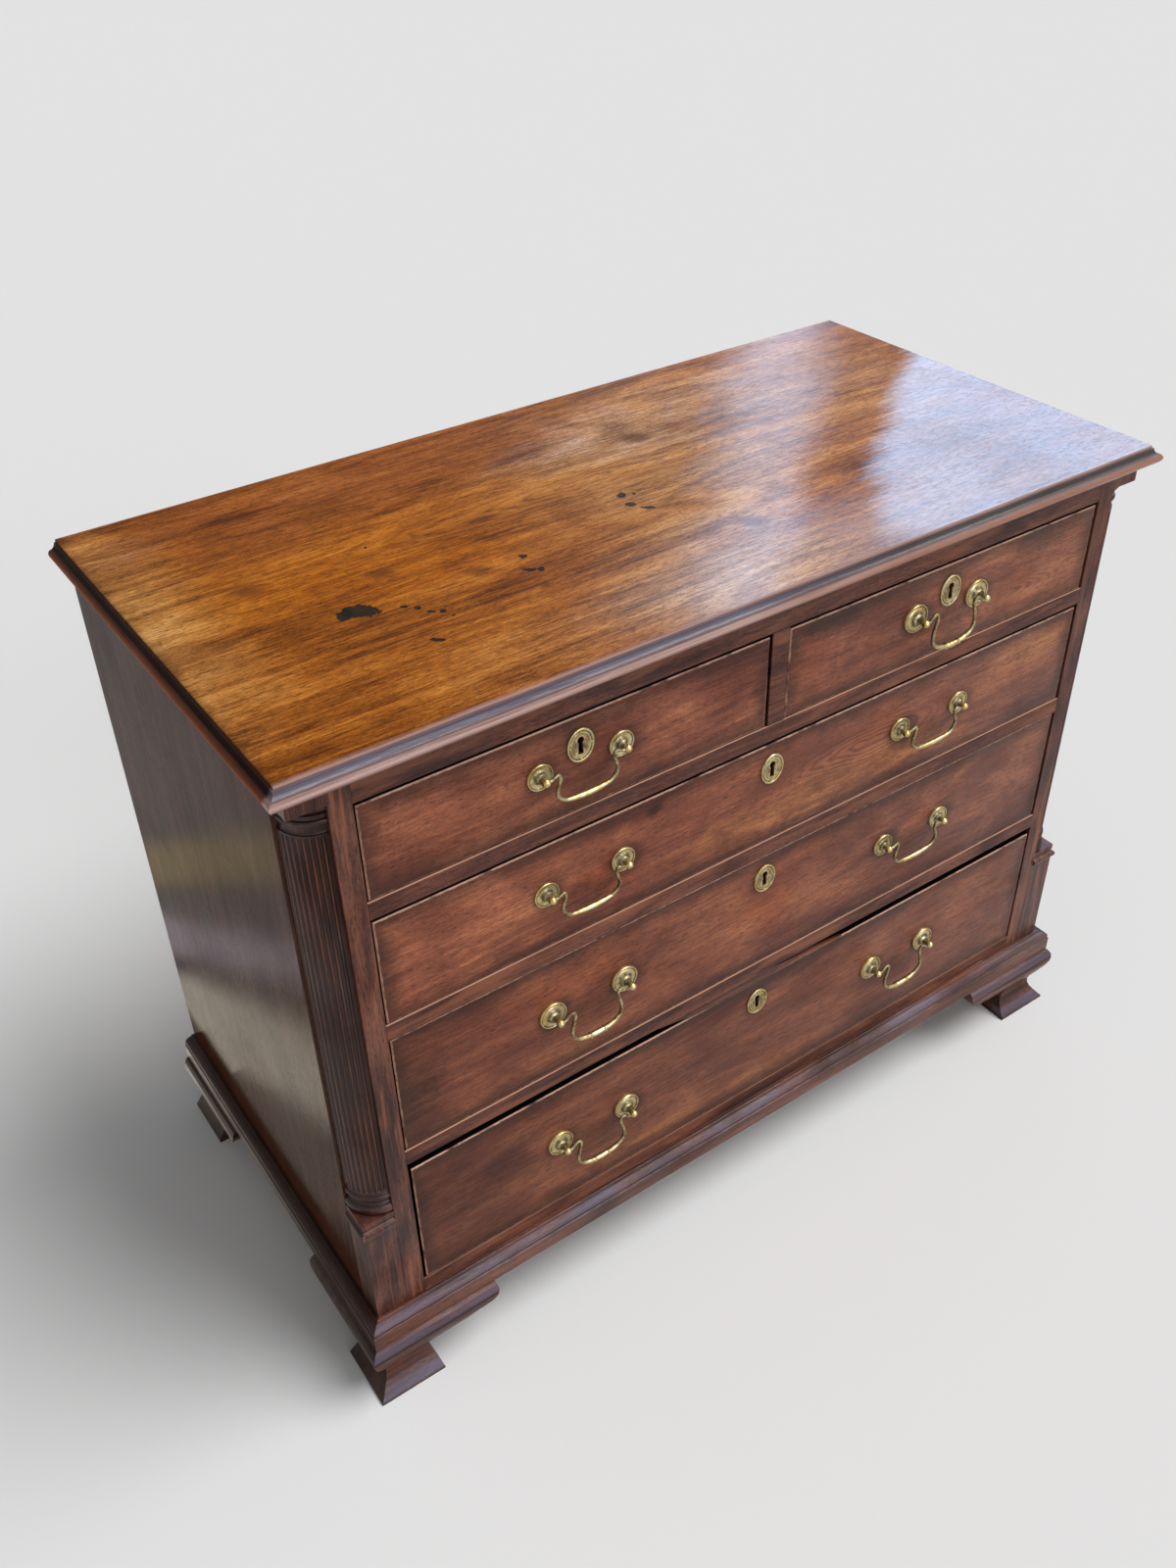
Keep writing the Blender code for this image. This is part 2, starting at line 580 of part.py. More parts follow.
def add_sockets(shape, rows, root_y, tip_y, past, half_width):
    """The sockets for the tails of both sides, cut past their tips and open at the board's ends."""
    outward = math.copysign(1, root_y - tip_y)
    length = abs(root_y - tip_y)
    slope = TAIL_FLARE / length
    mouth_y = root_y + outward * OVERRUN
    deep_y = tip_y - outward * past
    depth = DRAWER_SIDE_THICKNESS + DRAWER_SIDE_INSET + JOINT_GAP
    for middle, root, tip in rows:
        mouth = root - slope * OVERRUN + JOINT_GAP
        deep = tip + slope * past + JOINT_GAP
        outline = [(mouth_y, middle - mouth), (deep_y, middle - deep), (deep_y, middle + deep),
                   (mouth_y, middle + mouth)]
        for side in (-1, 1):
            add_prism(shape, outline, along_x, side * (half_width - depth), side * (half_width + OVERRUN))


def keyhole_outline(centre_x, centre_z):
    """A round hole with a slot that widens to its foot."""
    middle = centre_z + KEYHOLE_RISE
    start = math.asin(KEYHOLE_WAIST / KEYHOLE_RADIUS)
    points = []
    for number in range(KEYHOLE_SIDES + 1):
        turn = start + number / KEYHOLE_SIDES * (math.tau - 2 * start)
        points.append((centre_x + KEYHOLE_RADIUS * math.sin(turn), middle - KEYHOLE_RADIUS * math.cos(turn)))
    foot = centre_z - KEYHOLE_FOOT
    return points + [(centre_x - KEYHOLE_TOE, foot), (centre_x + KEYHOLE_TOE, foot)]


def add_post(shape, x, z, rose_radius, eye_height):
    """A rose and its post, turned in one, ending in the ball that holds the bail."""
    profile = [(0, -POST_SEAT), (rose_radius, -POST_SEAT)]
    profile += scaled(ROSE_SHARES, rose_radius, eye_height)
    for number in range(BALL_RINGS):
        turn = math.pi * (0.3 + 0.7 * number / BALL_RINGS)
        profile.append((BALL_RADIUS * math.sin(turn), eye_height - BALL_RADIUS * math.cos(turn)))
    profile.append((0, eye_height + BALL_RADIUS))
    add_turning(shape, profile, (x, 0, z), (0, -1, 0), (1, 0, 0), POST_STEPS)


def make_front(drawer, key, width, height, handles, finish, brass):
    """A solid front with lapped sockets for the sides, a groove, a keyhole and the handles' posts."""
    half = width / 2
    side_height = height - DRAWER_SIDE_DROP
    shape = bmesh.new()
    add_box(shape, (-half, 0, 0), (half, FRONT_THICKNESS, height))
    face_edges = [edge for edge in shape.edges if all(vert.co.y < WELD for vert in edge.verts)]
    bmesh.ops.bevel(shape, geom=face_edges, offset=FRONT_ARRIS, segments=1, affect="EDGES")
    piece = make_piece(f"drawer_{key}_front", shape, finish, drawer)
    groove = bmesh.new()
    add_box(groove, (DRAWER_SIDE_THICKNESS / 2 - half, FRONT_THICKNESS - GROOVE_DEPTH, BOTTOM_RISE),
            (half - DRAWER_SIDE_THICKNESS / 2, FRONT_THICKNESS + OVERRUN,
             BOTTOM_RISE + BOTTOM_THICKNESS + 2 * JOINT_GAP))
    combine(piece, "DIFFERENCE", groove, "groove")
    posts = bmesh.new()
    openings = bmesh.new()
    eye_row = height * (0.5 + HANDLE_RISE_SHARE)
    for offset, kind in handles:
        for side in (-1, 1):
            x = offset + side * HANDLE_CENTRES / 2
            add_post(posts, x, eye_row, kind["rose"], kind["eye"])
            eye = [(0, -2 * BALL_RADIUS), (EYE_RADIUS, -2 * BALL_RADIUS), (EYE_RADIUS, 2 * BALL_RADIUS),
                   (0, 2 * BALL_RADIUS)]
            add_turning(openings, eye, (x, -kind["eye"], eye_row), (1, 0, 0), (0, 0, 1), EYE_SIDES)
    combine(piece, "UNION", posts, "posts", brass)
    add_sockets(openings, tail_rows(0, side_height), FRONT_THICKNESS, FRONT_THICKNESS - TAIL_LENGTH,
                JOINT_GAP, half)
    add_prism(openings, keyhole_outline(0, height - ESCUTCHEON_DROP), along_y, -OVERRUN,
              FRONT_THICKNESS + OVERRUN)
    combine(piece, "DIFFERENCE", openings, "sockets_and_keyhole")


def make_drawer_side(drawer, key, side, hand, width, height, finish):
    """A side with tails at both ends and a groove for the bottom."""
    top = height - DRAWER_SIDE_DROP
    back_root = DRAWER_LENGTH - DRAWER_BACK_THICKNESS
    back_low = BOTTOM_RISE + BOTTOM_THICKNESS + JOINT_GAP
    back_high = top - DRAWER_BACK_DROP
    outline = [(FRONT_THICKNESS, 0)]
    outline += tail_edge(tail_rows(0, top), FRONT_THICKNESS, FRONT_THICKNESS - TAIL_LENGTH)
    outline += [(FRONT_THICKNESS, top), (DRAWER_LENGTH, top), (DRAWER_LENGTH, back_high + JOINT_GAP),
                (back_root, back_high + JOINT_GAP)]
    rows = tail_rows(back_low + 2 * JOINT_GAP, back_high)
    outline += reversed(tail_edge(rows, back_root, DRAWER_LENGTH))
    outline += [(back_root, back_low), (DRAWER_LENGTH, back_low), (DRAWER_LENGTH, 0)]
    outer = width / 2 - DRAWER_SIDE_INSET
    inner = outer - DRAWER_SIDE_THICKNESS
    shape = bmesh.new()
    add_prism(shape, outline, along_x, side * inner, side * outer)
    piece = make_piece(f"drawer_{key}_side_{hand}", shape, finish, drawer)
    groove = bmesh.new()
    add_box(groove, (side * (inner - OVERRUN), 0, BOTTOM_RISE),
            (side * (inner + GROOVE_DEPTH), DRAWER_LENGTH + OVERRUN,
             BOTTOM_RISE + BOTTOM_THICKNESS + 2 * JOINT_GAP))
    combine(piece, "DIFFERENCE", groove, "groove")


def make_drawer_back(drawer, key, width, height, finish):
    """A back that stands on the bottom, with the sides' tails right through it."""
    half = width / 2 - DRAWER_SIDE_INSET
    low = BOTTOM_RISE + BOTTOM_THICKNESS + 3 * JOINT_GAP
    high = height - DRAWER_SIDE_DROP - DRAWER_BACK_DROP
    root_y = DRAWER_LENGTH - DRAWER_BACK_THICKNESS
    shape = bmesh.new()
    add_box(shape, (-half, root_y + JOINT_GAP, low), (half, DRAWER_LENGTH, high))
    piece = make_piece(f"drawer_{key}_back", shape, finish, drawer)
    sockets = bmesh.new()
    add_sockets(sockets, tail_rows(low, high), root_y, DRAWER_LENGTH, OVERRUN, half)
    combine(piece, "DIFFERENCE", sockets, "sockets")


def make_drawer_bottom(drawer, key, width, finish):
    """A thin board held in the grooves of the front and sides, and carried under the back."""
    half = width / 2 - DRAWER_SIDE_INSET - DRAWER_SIDE_THICKNESS + GROOVE_DEPTH - JOINT_GAP
    low = BOTTOM_RISE + JOINT_GAP
    shape = bmesh.new()
    add_box(shape, (-half, FRONT_THICKNESS - GROOVE_DEPTH + JOINT_GAP, low),
            (half, DRAWER_LENGTH, low + BOTTOM_THICKNESS))
    make_piece(f"drawer_{key}_bottom", shape, finish, drawer)


def make_escutcheon(drawer, key, height, brass):
    """An oval plate with a raised rim and a keyhole."""
    middle = height - ESCUTCHEON_DROP
    rings = []
    for size, depth in ESCUTCHEON_SHARES:
        ring = []
        for number in range(ESCUTCHEON_SEGMENTS):
            turn = number / ESCUTCHEON_SEGMENTS * math.tau
            ring.append((size * ESCUTCHEON_WIDTH / 2 * math.cos(turn), -JOINT_GAP - depth * ESCUTCHEON_THICKNESS,
                         middle + size * ESCUTCHEON_HEIGHT / 2 * math.sin(turn)))
        rings.append(ring)
    shape = bmesh.new()
    add_loft(shape, rings)
    piece = make_piece(f"escutcheon_{key}", shape, brass, drawer)
    hole = bmesh.new()
    add_prism(hole, keyhole_outline(0, middle), along_y, -OVERRUN, OVERRUN)
    combine(piece, "DIFFERENCE", hole, "keyhole")


def make_bail(drawer, name, offset, height, kind, brass):
    """A swan-neck bail bent from one bar, with its ends turned out into the eyes."""
    half_centres = HANDLE_CENTRES / 2
    half = [*kind["bail"], (PIN_END_SHARE, 0.00, 1.0)]
    stations = [(-across, up, thick) for across, up, thick in reversed(half[1:])] + half
    curve = bpy.data.curves.new(name, "CURVE")
    curve.dimensions = "3D"
    curve.bevel_depth = BAIL_RADIUS
    curve.bevel_resolution = BAIL_RESOLUTION
    curve.use_fill_caps = True
    spline = curve.splines.new("POLY")
    spline.points.add(len(stations) - 1)
    for point, (across, up, thick) in zip(spline.points, stations):
        point.co = (across * half_centres, 0, up * kind["drop"], 1)
        point.radius = thick
    curve.materials.append(brass)
    bail = bpy.data.objects.new(name, curve)
    bail.parent = drawer
    bail.location = (offset, -kind["eye"], height * (0.5 + HANDLE_RISE_SHARE))
    bpy.context.scene.collection.objects.link(bail)


def make_drawer(chest, key, centre, floor, width, height, handles, finishes):
    """One drawer with its handles and escutcheon, under an empty on its slide."""
    drawer = make_empty(f"slide_{key}", chest, (centre, FRONT_RECESS, floor + FRONT_SEAT))
    make_front(drawer, key, width, height, [handle[1:] for handle in handles], finishes["figured"],
               finishes["brass"])
    make_drawer_side(drawer, key, -1, "left", width, height, finishes["oak"])
    make_drawer_side(drawer, key, 1, "right", width, height, finishes["oak"])
    make_drawer_back(drawer, key, width, height, finishes["oak"])
    make_drawer_bottom(drawer, key, width, finishes["oak"])
    make_escutcheon(drawer, key, height, finishes["brass"])
    for name, offset, kind in handles:
        make_bail(drawer, name, offset, height, kind, finishes["brass"])


def make_drawers(chest, finishes):
    plain = {"rose": PLAIN_ROSE_RADIUS, "eye": PLAIN_EYE_HEIGHT, "drop": PLAIN_DROP, "bail": PLAIN_BAIL_SHARES}
    ringed = {"rose": RINGED_ROSE_RADIUS, "eye": RINGED_EYE_HEIGHT, "drop": RINGED_DROP,
              "bail": RINGED_BAIL_SHARES}
    long_width = 2 * (HALF_OPENING - SIDE_GAP)
    lower_width = 2 * (HALF_OPENING - LOWER_SIDE_GAP)
    make_drawer(chest, "short_left", -SHORT_CENTRE, SHORT_FLOOR, SHORT_WIDTH, SHORT_FRONT_HEIGHT,
                [("bail_short_left", 0, plain)], finishes)
    make_drawer(chest, "short_right", SHORT_CENTRE, SHORT_FLOOR, SHORT_WIDTH, SHORT_FRONT_HEIGHT,
                [("bail_short_right", SHORT_RIGHT_SHIFT, ringed)], finishes)
    make_drawer(chest, "upper", 0, UPPER_FLOOR, long_width, UPPER_FRONT_HEIGHT,
                [("bail_upper_left", -HANDLE_OFFSET, plain), ("bail_upper_right", UPPER_RIGHT_OFFSET, plain)],
                finishes)
    make_drawer(chest, "middle", 0, MIDDLE_FLOOR, long_width, MIDDLE_FRONT_HEIGHT,
                [("bail_middle_left", -HANDLE_OFFSET, ringed),
                 ("bail_middle_right", MIDDLE_RIGHT_OFFSET, plain)],
                finishes)
    make_drawer(chest, "lower", LOWER_SHIFT, LOWER_FLOOR, lower_width, LOWER_FRONT_HEIGHT,
                [("bail_lower_left", -HANDLE_OFFSET, ringed),
                 ("bail_lower_right", LOWER_RIGHT_OFFSET, ringed)],
                finishes)


def main():
    clear_scene()
    finishes = {
        "top": make_material("honey_mahogany", (0.24, 0.10, 0.045), 0.32),
        "mahogany": make_material("red_brown_mahogany", (0.13, 0.047, 0.028), 0.38),
        "figured": make_material("drawer_front_mahogany", (0.16, 0.058, 0.034), 0.36),
        "side": make_material("faded_side_mahogany", (0.075, 0.05, 0.035), 0.42),
        "oak": make_material("drawer_oak", (0.36, 0.22, 0.11), 0.6),
        "pine": make_material("back_pine", (0.30, 0.19, 0.10), 0.7),
        "brass": make_material("old_brass", (0.50, 0.40, 0.17), 0.35, 1.0),
    }
    chest = make_empty("chest_frame", None, (0, FRONT_PLANE, 0))
    make_top(chest, finishes["top"])
    make_back(chest, finishes["pine"])
    make_rail(chest, "case_bottom", LOWER_FLOOR, BOTTOM_RAIL_HEIGHT, CASE_BOTTOM_THICKNESS, finishes["mahogany"])
    for name, floor in (("drawer_rail_lower", MIDDLE_FLOOR), ("drawer_rail_middle", UPPER_FLOOR),
                        ("drawer_rail_upper", SHORT_FLOOR)):
        make_rail(chest, name, floor, RAIL_HEIGHT, DUST_BOARD_THICKNESS, finishes["mahogany"])
    make_top_rail(chest, finishes["mahogany"])
    make_front_moulding(chest, finishes["mahogany"])
    for side, hand in ((-1, "left"), (1, "right")):
        make_side(chest, side, f"side_{hand}", finishes["side"])
        make_post(chest, side, f"corner_post_{hand}", finishes["mahogany"])
        make_plinth(chest, side, f"plinth_{hand}", finishes["mahogany"])
        make_column(chest, side, f"column_{hand}", finishes["mahogany"])
        make_side_moulding(chest, side, f"base_moulding_{hand}", finishes["mahogany"])
        make_front_foot(chest, side, f"foot_front_{hand}", finishes["mahogany"])
        make_rear_foot(chest, side, f"foot_rear_{hand}", finishes["mahogany"])
    make_drawers(chest, finishes)


main()
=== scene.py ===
"""Finishes, brasses and a plain studio for an antique mahogany chest of drawers.

Run as a script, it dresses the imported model: old waxed wood on every board, turned and cast brass in
place of the plain handles and escutcheons, and a soft studio with the camera at the viewing angle.
"""

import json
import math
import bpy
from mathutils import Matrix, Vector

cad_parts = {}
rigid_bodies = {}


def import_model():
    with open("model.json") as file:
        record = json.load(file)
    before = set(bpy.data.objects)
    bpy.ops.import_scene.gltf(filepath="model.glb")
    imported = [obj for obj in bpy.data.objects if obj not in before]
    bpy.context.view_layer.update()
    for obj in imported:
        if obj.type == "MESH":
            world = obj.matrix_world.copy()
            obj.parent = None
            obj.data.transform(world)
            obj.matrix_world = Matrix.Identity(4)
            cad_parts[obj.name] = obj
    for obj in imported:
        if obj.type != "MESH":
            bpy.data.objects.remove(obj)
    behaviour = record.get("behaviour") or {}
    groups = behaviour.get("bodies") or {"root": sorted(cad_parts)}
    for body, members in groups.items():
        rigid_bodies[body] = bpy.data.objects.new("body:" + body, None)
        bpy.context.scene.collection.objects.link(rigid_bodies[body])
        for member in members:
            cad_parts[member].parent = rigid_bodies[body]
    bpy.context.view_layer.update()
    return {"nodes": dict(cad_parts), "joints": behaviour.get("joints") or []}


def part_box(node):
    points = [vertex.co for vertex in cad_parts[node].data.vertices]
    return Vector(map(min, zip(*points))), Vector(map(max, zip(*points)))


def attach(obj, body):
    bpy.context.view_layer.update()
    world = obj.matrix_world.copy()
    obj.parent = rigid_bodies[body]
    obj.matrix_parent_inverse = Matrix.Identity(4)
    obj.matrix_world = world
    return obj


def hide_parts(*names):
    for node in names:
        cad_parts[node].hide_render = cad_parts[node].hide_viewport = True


bl_info = {
    "name": "Antique Chest of Drawers",
    "version": (1, 0, 0),
    "blender": (4, 5, 0),
    "location": "View3D > Sidebar > Chest",
    "description": "Finishes and brass fittings for an antique mahogany chest of drawers",
    "category": "Object",
}

import bmesh
import bpy
from bpy.props import FloatProperty, FloatVectorProperty, IntProperty, PointerProperty
from mathutils import Matrix, Vector

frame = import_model()

X, Y, Z = 0, 1, 2
# How far one step of a seed moves a noise along X, Y and Z
SEED_SHIFTS = (3.1, 1.7, 2.3)
DRAWERS = ("short_left", "short_right", "upper", "middle", "lower")
# Seeds of the wood's figure, for the first piece of each kind
SEEDS = {"back": 3.3, "rails": 4.0, "base": 9.5, "sides": 11.0, "uprights": 13.0, "lip": 17.0,
         "fronts": 20.0, "linings": 30.0, "columns": 51.0}
PLATE_SEAT = 0.0003
FACE_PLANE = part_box("escutcheon_upper")[1].y + PLATE_SEAT
CASE_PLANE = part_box("case_bottom")[0].y
RAIL_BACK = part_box("corner_post_left")[1].y
CASE_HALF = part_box("side_right")[1].x
# Rails from the lowest up, the drawer over each, and how far its front stands above the rail's pale arris
# line, which is worn wood and a painted highlight
RAILS = ("case_bottom", "drawer_rail_lower", "drawer_rail_middle", "drawer_rail_upper",
         "top_rail_with_divider")
DRAWERS_ON_RAILS = ("lower", "middle", "upper", "short_left")
FRONT_SEAT = 0.0005
# Depth at which the finish of a drawer front ends and its bare back begins
FRONT_DEPTH = 0.018
# Gaps over the lower, middle, upper and short drawers, along which a black line of painted shade runs under
# the rail above
RAIL_GAPS = (0.0122, 0.0015, 0.0050, 0.0045)
# Levels of the base moulding, of the feet and of the plinths' blocks that face up, given a painted bluish
# sheen with a line of painted shade under each
BASE_SLOPES = ((0.1205, 0.1275),)
FOOT_SLOPES = ((0.0835, 0.0935), (0.0040, 0.0140))
PLINTH_SLOPES = ((0.2600, 0.2680),)
# Uprights, mouldings and feet: the way of their grain, how rubbed and how glossy they are, their slopes
# with a painted sheen, and how dark the painted shade makes their outer side
UPRIGHTS = (
    ("corner_post", Z, 0.70, 0.36, (), 0.7), ("column", Z, 0.28, 0.40, (), 1.0),
    ("plinth", Z, 0.38, 0.45, PLINTH_SLOPES, 0.50), ("base_moulding", Y, 0.10, 0.12, BASE_SLOPES, 0.30),
    ("foot_front", X, 0.22, 0.32, FOOT_SLOPES, 0.34), ("foot_rear", Y, 0.05, 0.12, (), 0.26),
)

# Bails: half of the centre line as (across, up, thickness) shares, from the bow to the eye
PLAIN_BAIL = (
    (0.00, -1.00, 1.74), (0.20, -0.99, 1.64), (0.38, -0.965, 1.38), (0.58, -0.89, 1.18),
    (0.735, -0.64, 1.14), (0.735, -0.44, 1.10), (0.695, -0.25, 1.05), (0.665, -0.07, 1.0),
    (0.70, 0.09, 1.0), (0.785, 0.06, 1.0), (0.875, 0.00, 0.98), (1.045, 0.00, 0.96),
)
RINGED_BAIL = (
    (0.00, -1.00, 1.92), (0.150, -0.99, 1.72), (0.170, -0.988, 1.62), (0.182, -0.988, 2.05),
    (0.20, -0.987, 2.25), (0.218, -0.985, 2.05), (0.232, -0.98, 1.50), (0.34, -0.955, 1.70),
    (0.56, -0.845, 1.32), (0.675, -0.69, 1.20), (0.69, -0.50, 1.18), (0.635, -0.18, 1.12),
    (0.60, -0.01, 1.08), (0.635, 0.12, 1.05), (0.70, 0.14, 1.02), (0.79, 0.08, 1.0), (0.875, 0.00, 0.98),
    (1.045, 0.00, 0.96),
)
# Roses and posts: (radius share, height share) from the wood outwards
PLAIN_POST = (
    (1.00, 0.00), (1.00, 0.13), (0.985, 0.20), (0.955, 0.235), (0.905, 0.235), (0.87, 0.205),
    (0.845, 0.180), (0.80, 0.158), (0.62, 0.140), (0.55, 0.150), (0.50, 0.195), (0.42, 0.260),
    (0.33, 0.330), (0.30, 0.345), (0.335, 0.375), (0.345, 0.410), (0.325, 0.450), (0.25, 0.475),
    (0.23, 0.50),
)
RINGED_POST = (
    (1.00, 0.00), (1.00, 0.12), (0.985, 0.18), (0.955, 0.22), (0.905, 0.22), (0.875, 0.190),
    (0.85, 0.178), (0.80, 0.150), (0.745, 0.140), (0.71, 0.165), (0.66, 0.185), (0.54, 0.200), (0.45, 0.250),
    (0.38, 0.320), (0.31, 0.390), (0.26, 0.440), (0.30, 0.465), (0.315, 0.500), (0.295, 0.535), (0.22, 0.56),
    (0.205, 0.60),
)
KINDS = {
    "plain": {"rose": 0.0142, "ball": 0.00440, "drop": 0.0308, "bail": PLAIN_BAIL, "post": PLAIN_POST},
    "ringed": {"rose": 0.0165, "ball": 0.00440, "drop": 0.0408, "bail": RINGED_BAIL, "post": RINGED_POST},
}
# Dirt on the roses from the middle out, along the posts, and on the bails from the grip to the eyes
ROSE_DIRT = ((0.40, 0.85), (0.56, 0.45), (0.66, 0.15), (0.80, 0.30), (0.86, 0.90), (0.91, 0.25), (0.96, 0.0),
             (1.00, 0.30))
POST_DIRT = ((0.24, 0.75), (0.36, 0.55), (0.41, 0.10), (0.47, 0.70), (0.60, 0.75), (0.75, 0.30),
             (1.00, 0.25), (1.20, 0.10))
BAIL_DIRT = ((0.00, 0.22), (0.36, 0.26), (0.55, 0.45), (0.72, 0.55), (0.90, 0.45), (1.05, 0.45))
RINGED_HANDLES = ("bail_short_right", "bail_middle_left", "bail_lower_left", "bail_lower_right")

# Escutcheons: (radius, height) shares of the plate and of a pin's head, and dirt from the middle out
PLATE_RINGS = (
    (1.00, 0.00), (1.00, 0.45), (0.99, 0.72), (0.965, 0.92), (0.935, 1.00), (0.90, 0.96), (0.875, 0.80),
    (0.86, 0.58), (0.84, 0.46), (0.80, 0.46), (0.78, 0.58), (0.765, 0.64), (0.735, 0.64), (0.715, 0.56),
    (0.69, 0.50), (0.05, 0.50),
)
PLATE_DIRT = ((0.20, 0.55), (0.32, 0.05), (0.62, 0.10), (0.69, 0.55), (0.75, 0.05), (0.82, 1.0),
              (0.88, 0.35), (0.93, 0.0), (1.00, 0.45))
PIN_RINGS = ((1.0, 0.40), (1.0, 0.62), (0.8, 0.85), (0.4, 0.97), (0.05, 1.0))
PIN_REACH = 0.79
PLATE_SIDES = 64
PIN_SIDES = 16
PIN_DIRT = ((0.0, 0.0), (0.0006, 0.8))
# Keyhole: a round above the plate's middle, and below it a slot that widens towards its foot
KEYHOLE_ROUND = 0.0038
KEYHOLE_RISE = 0.0056
KEYHOLE_DROP = 0.0022
KEYHOLE_SLOT = (0.0042, 0.0150)
KEYHOLE_FLARE = 1.45

# The point attribute that marks dirt in the brasses' hollows
HOLLOW = "hollow"
# Dirt on the back of a bail's bar, from its front to its back in shares of its radius
BAR_DIRT = ((-1.0, 0.0), (0.2, 0.25), (1.2, 0.75))
# Ball round a post's eye: the turn where it leaves its stem, the turn that it covers, and its rings
BALL_START = 38
BALL_TURN = 142
BALL_RINGS = 11
# Share of a post's length that its rose takes
ROSE_SHARE = 0.24

# Quarter columns: rings of the base from its foot, and of the capital down from its head
COLUMN_SIDES = 288
COLUMN_RADIUS = 0.0325
COLUMN_BASE = (
    (0.0344, 0.0), (0.0355, 0.0013), (0.0361, 0.0033), (0.0362, 0.0055), (0.0361, 0.0077), (0.0355, 0.0097),
    (0.0344, 0.0108), (0.0340, 0.0110), (0.0340, 0.0124), (0.0326, 0.0128), (0.0314, 0.0141),
    (0.0310, 0.0156), (0.0313, 0.0172), (0.0323, 0.0186), (0.0326, 0.0188), (0.0326, 0.0200),
    (0.0334, 0.0203), (0.0342, 0.0212), (0.0345, 0.0225), (0.0345, 0.0236), (0.0342, 0.0249),
    (0.0334, 0.0258), (0.0327, 0.0261), (0.0327, 0.0276), (0.0321, 0.0284), (0.0322, 0.0298),
)
COLUMN_CAPITAL = (
    (0.0325, 0.0299), (0.0312, 0.0294), (0.0305, 0.0283), (0.0305, 0.0225), (0.0310, 0.0206),
    (0.0318, 0.0203), (0.0328, 0.0196), (0.0334, 0.0184), (0.0335, 0.0176), (0.0334, 0.0166),
    (0.0328, 0.0155), (0.0318, 0.0149), (0.0302, 0.0146), (0.0300, 0.0141), (0.0320, 0.0138),
    (0.0320, 0.0096), (0.0305, 0.0091), (0.0306, 0.0082), (0.0313, 0.0066), (0.0325, 0.0051),
    (0.0344, 0.0038), (0.0355, 0.0034), (0.0355, 0.0),
)
# Levels of the rings' hollows, above the column's foot or (below 0) under its head, darkened with dirt and
# painted shade
COLUMN_HOLLOWS = (0.0155, 0.0118, 0.0193, 0.0280, -0.0290, -0.0212, -0.0143, -0.0088)
FLUTE_PITCH = 10
FLUTE_LANES = (0.0, 1.25, 2.5)
FLUTE_HALF_WIDTH = 0.0021
FLUTE_DEPTH = 0.0017
FLUTE_FOOT = 0.0317
FLUTE_HEAD = 0.0319
FLUTE_END_INSETS = (0.0003, 0.0008, 0.0014)

# Depths of the top's moulding below its upper face: rounded arris, cove, nosing and foot
ARRIS_DROP = 0.0012
COVE_DROP = 0.0062
NOSE_DROP = 0.0140
FOOT_DROP = (0.0190, 0.0210)
# Ink spots on the top: centre, then reach along and across their slant
INK_SLANT = -0.64
INK_SPOTS = (
    ((-0.3509, -0.0509), (0.0196, 0.0120)), ((-0.3655, -0.0490), (0.0080, 0.0115)),
    ((-0.3133, -0.0679), (0.0042, 0.0028)), ((-0.3038, -0.0779), (0.0032, 0.0036)),
    ((-0.2973, -0.0913), (0.0044, 0.0026)), ((-0.2882, -0.0972), (0.0034, 0.0036)),
    ((-0.2838, -0.1097), (0.0018, 0.0020)), ((-0.3186, -0.1386), (0.0075, 0.0034)),
    ((-0.1702, -0.0510), (0.0044, 0.0048)), ((-0.1798, -0.0782), (0.0072, 0.0036)),
    ((-0.1700, -0.0840), (0.0036, 0.0050)), ((-0.0119, 0.0011), (0.0052, 0.0070)),
    ((-0.0170, -0.0218), (0.0060, 0.0058)), ((-0.0062, -0.0397), (0.0092, 0.0034)),
    ((0.0009, -0.0038), (0.0020, 0.0026)), ((-0.2867, 0.0599), (0.0015, 0.0024)),
)
# Faint bruises on the top, darker than the wood round them
BRUISES = (
    ((-0.1834, -0.1127), (0.0070, 0.0075)), ((-0.1666, -0.2306), (0.0042, 0.0090)),
    ((-0.2229, -0.2319), (0.0055, 0.0028)), ((-0.3019, 0.0050), (0.0200, 0.0140)),
    ((-0.2200, -0.0520), (0.0260, 0.0150)), ((0.0900, 0.1150), (0.0260, 0.0200)),
    ((-0.4200, 0.0500), (0.0300, 0.0240)), ((0.0600, -0.1300), (0.0240, 0.0150)),
)
# Broad patches of another tone on the top: centre, reach, tone and strength
TOP_PATCHES = (
    ((-0.290, 0.020), (0.230, 0.110), "amber", 0.85), ((-0.200, 0.210), (0.400, 0.095), "russet", 0.65),
    ((0.130, 0.170), (0.230, 0.120), "faded", 0.60), ((-0.545, 0.060), (0.100, 0.320), "faded", 0.70),
    ((-0.360, 0.130), (0.080, 0.060), "russet", 0.45), ((0.050, -0.220), (0.420, 0.080), "faded", 0.40),
    ((0.060, 0.020), (0.220, 0.180), "faded", 0.70), ((0.360, 0.100), (0.200, 0.180), "faded", 0.45),
    ((-0.050, -0.180), (0.160, 0.110), "faded", 0.45),
)
# Arched growth lines: centre and reach of their oval, and strength
TOP_ARCHES = (((-0.030, 0.055), (0.300, 0.042), 0.34), ((0.330, 0.150), (0.180, 0.040), 0.25))
FRONT_ARCHES = {
    "upper": ((0.135, 0.617), (0.120, 0.030), 0.50),
    "short_right": ((0.330, 0.735), (0.110, 0.024), 0.30),
    "middle": ((-0.060, 0.430), (0.200, 0.050), 0.14),
    "lower": ((0.150, 0.230), (0.220, 0.050), 0.16),
}
# The window's gloss on the top, its edge and a paler band beside it: how far a place counts across and
# along the top, and a shift
GLOSS_EDGE = (0.640, -0.768, -0.2218)
PALE_BAND = (0.7560, -0.6714, -0.1658)
# Faint gloss near the top's front edge: centre and reach
FRONT_HAZE = ((0.05, -0.22, 0.86), (0.34, 0.15, 1))
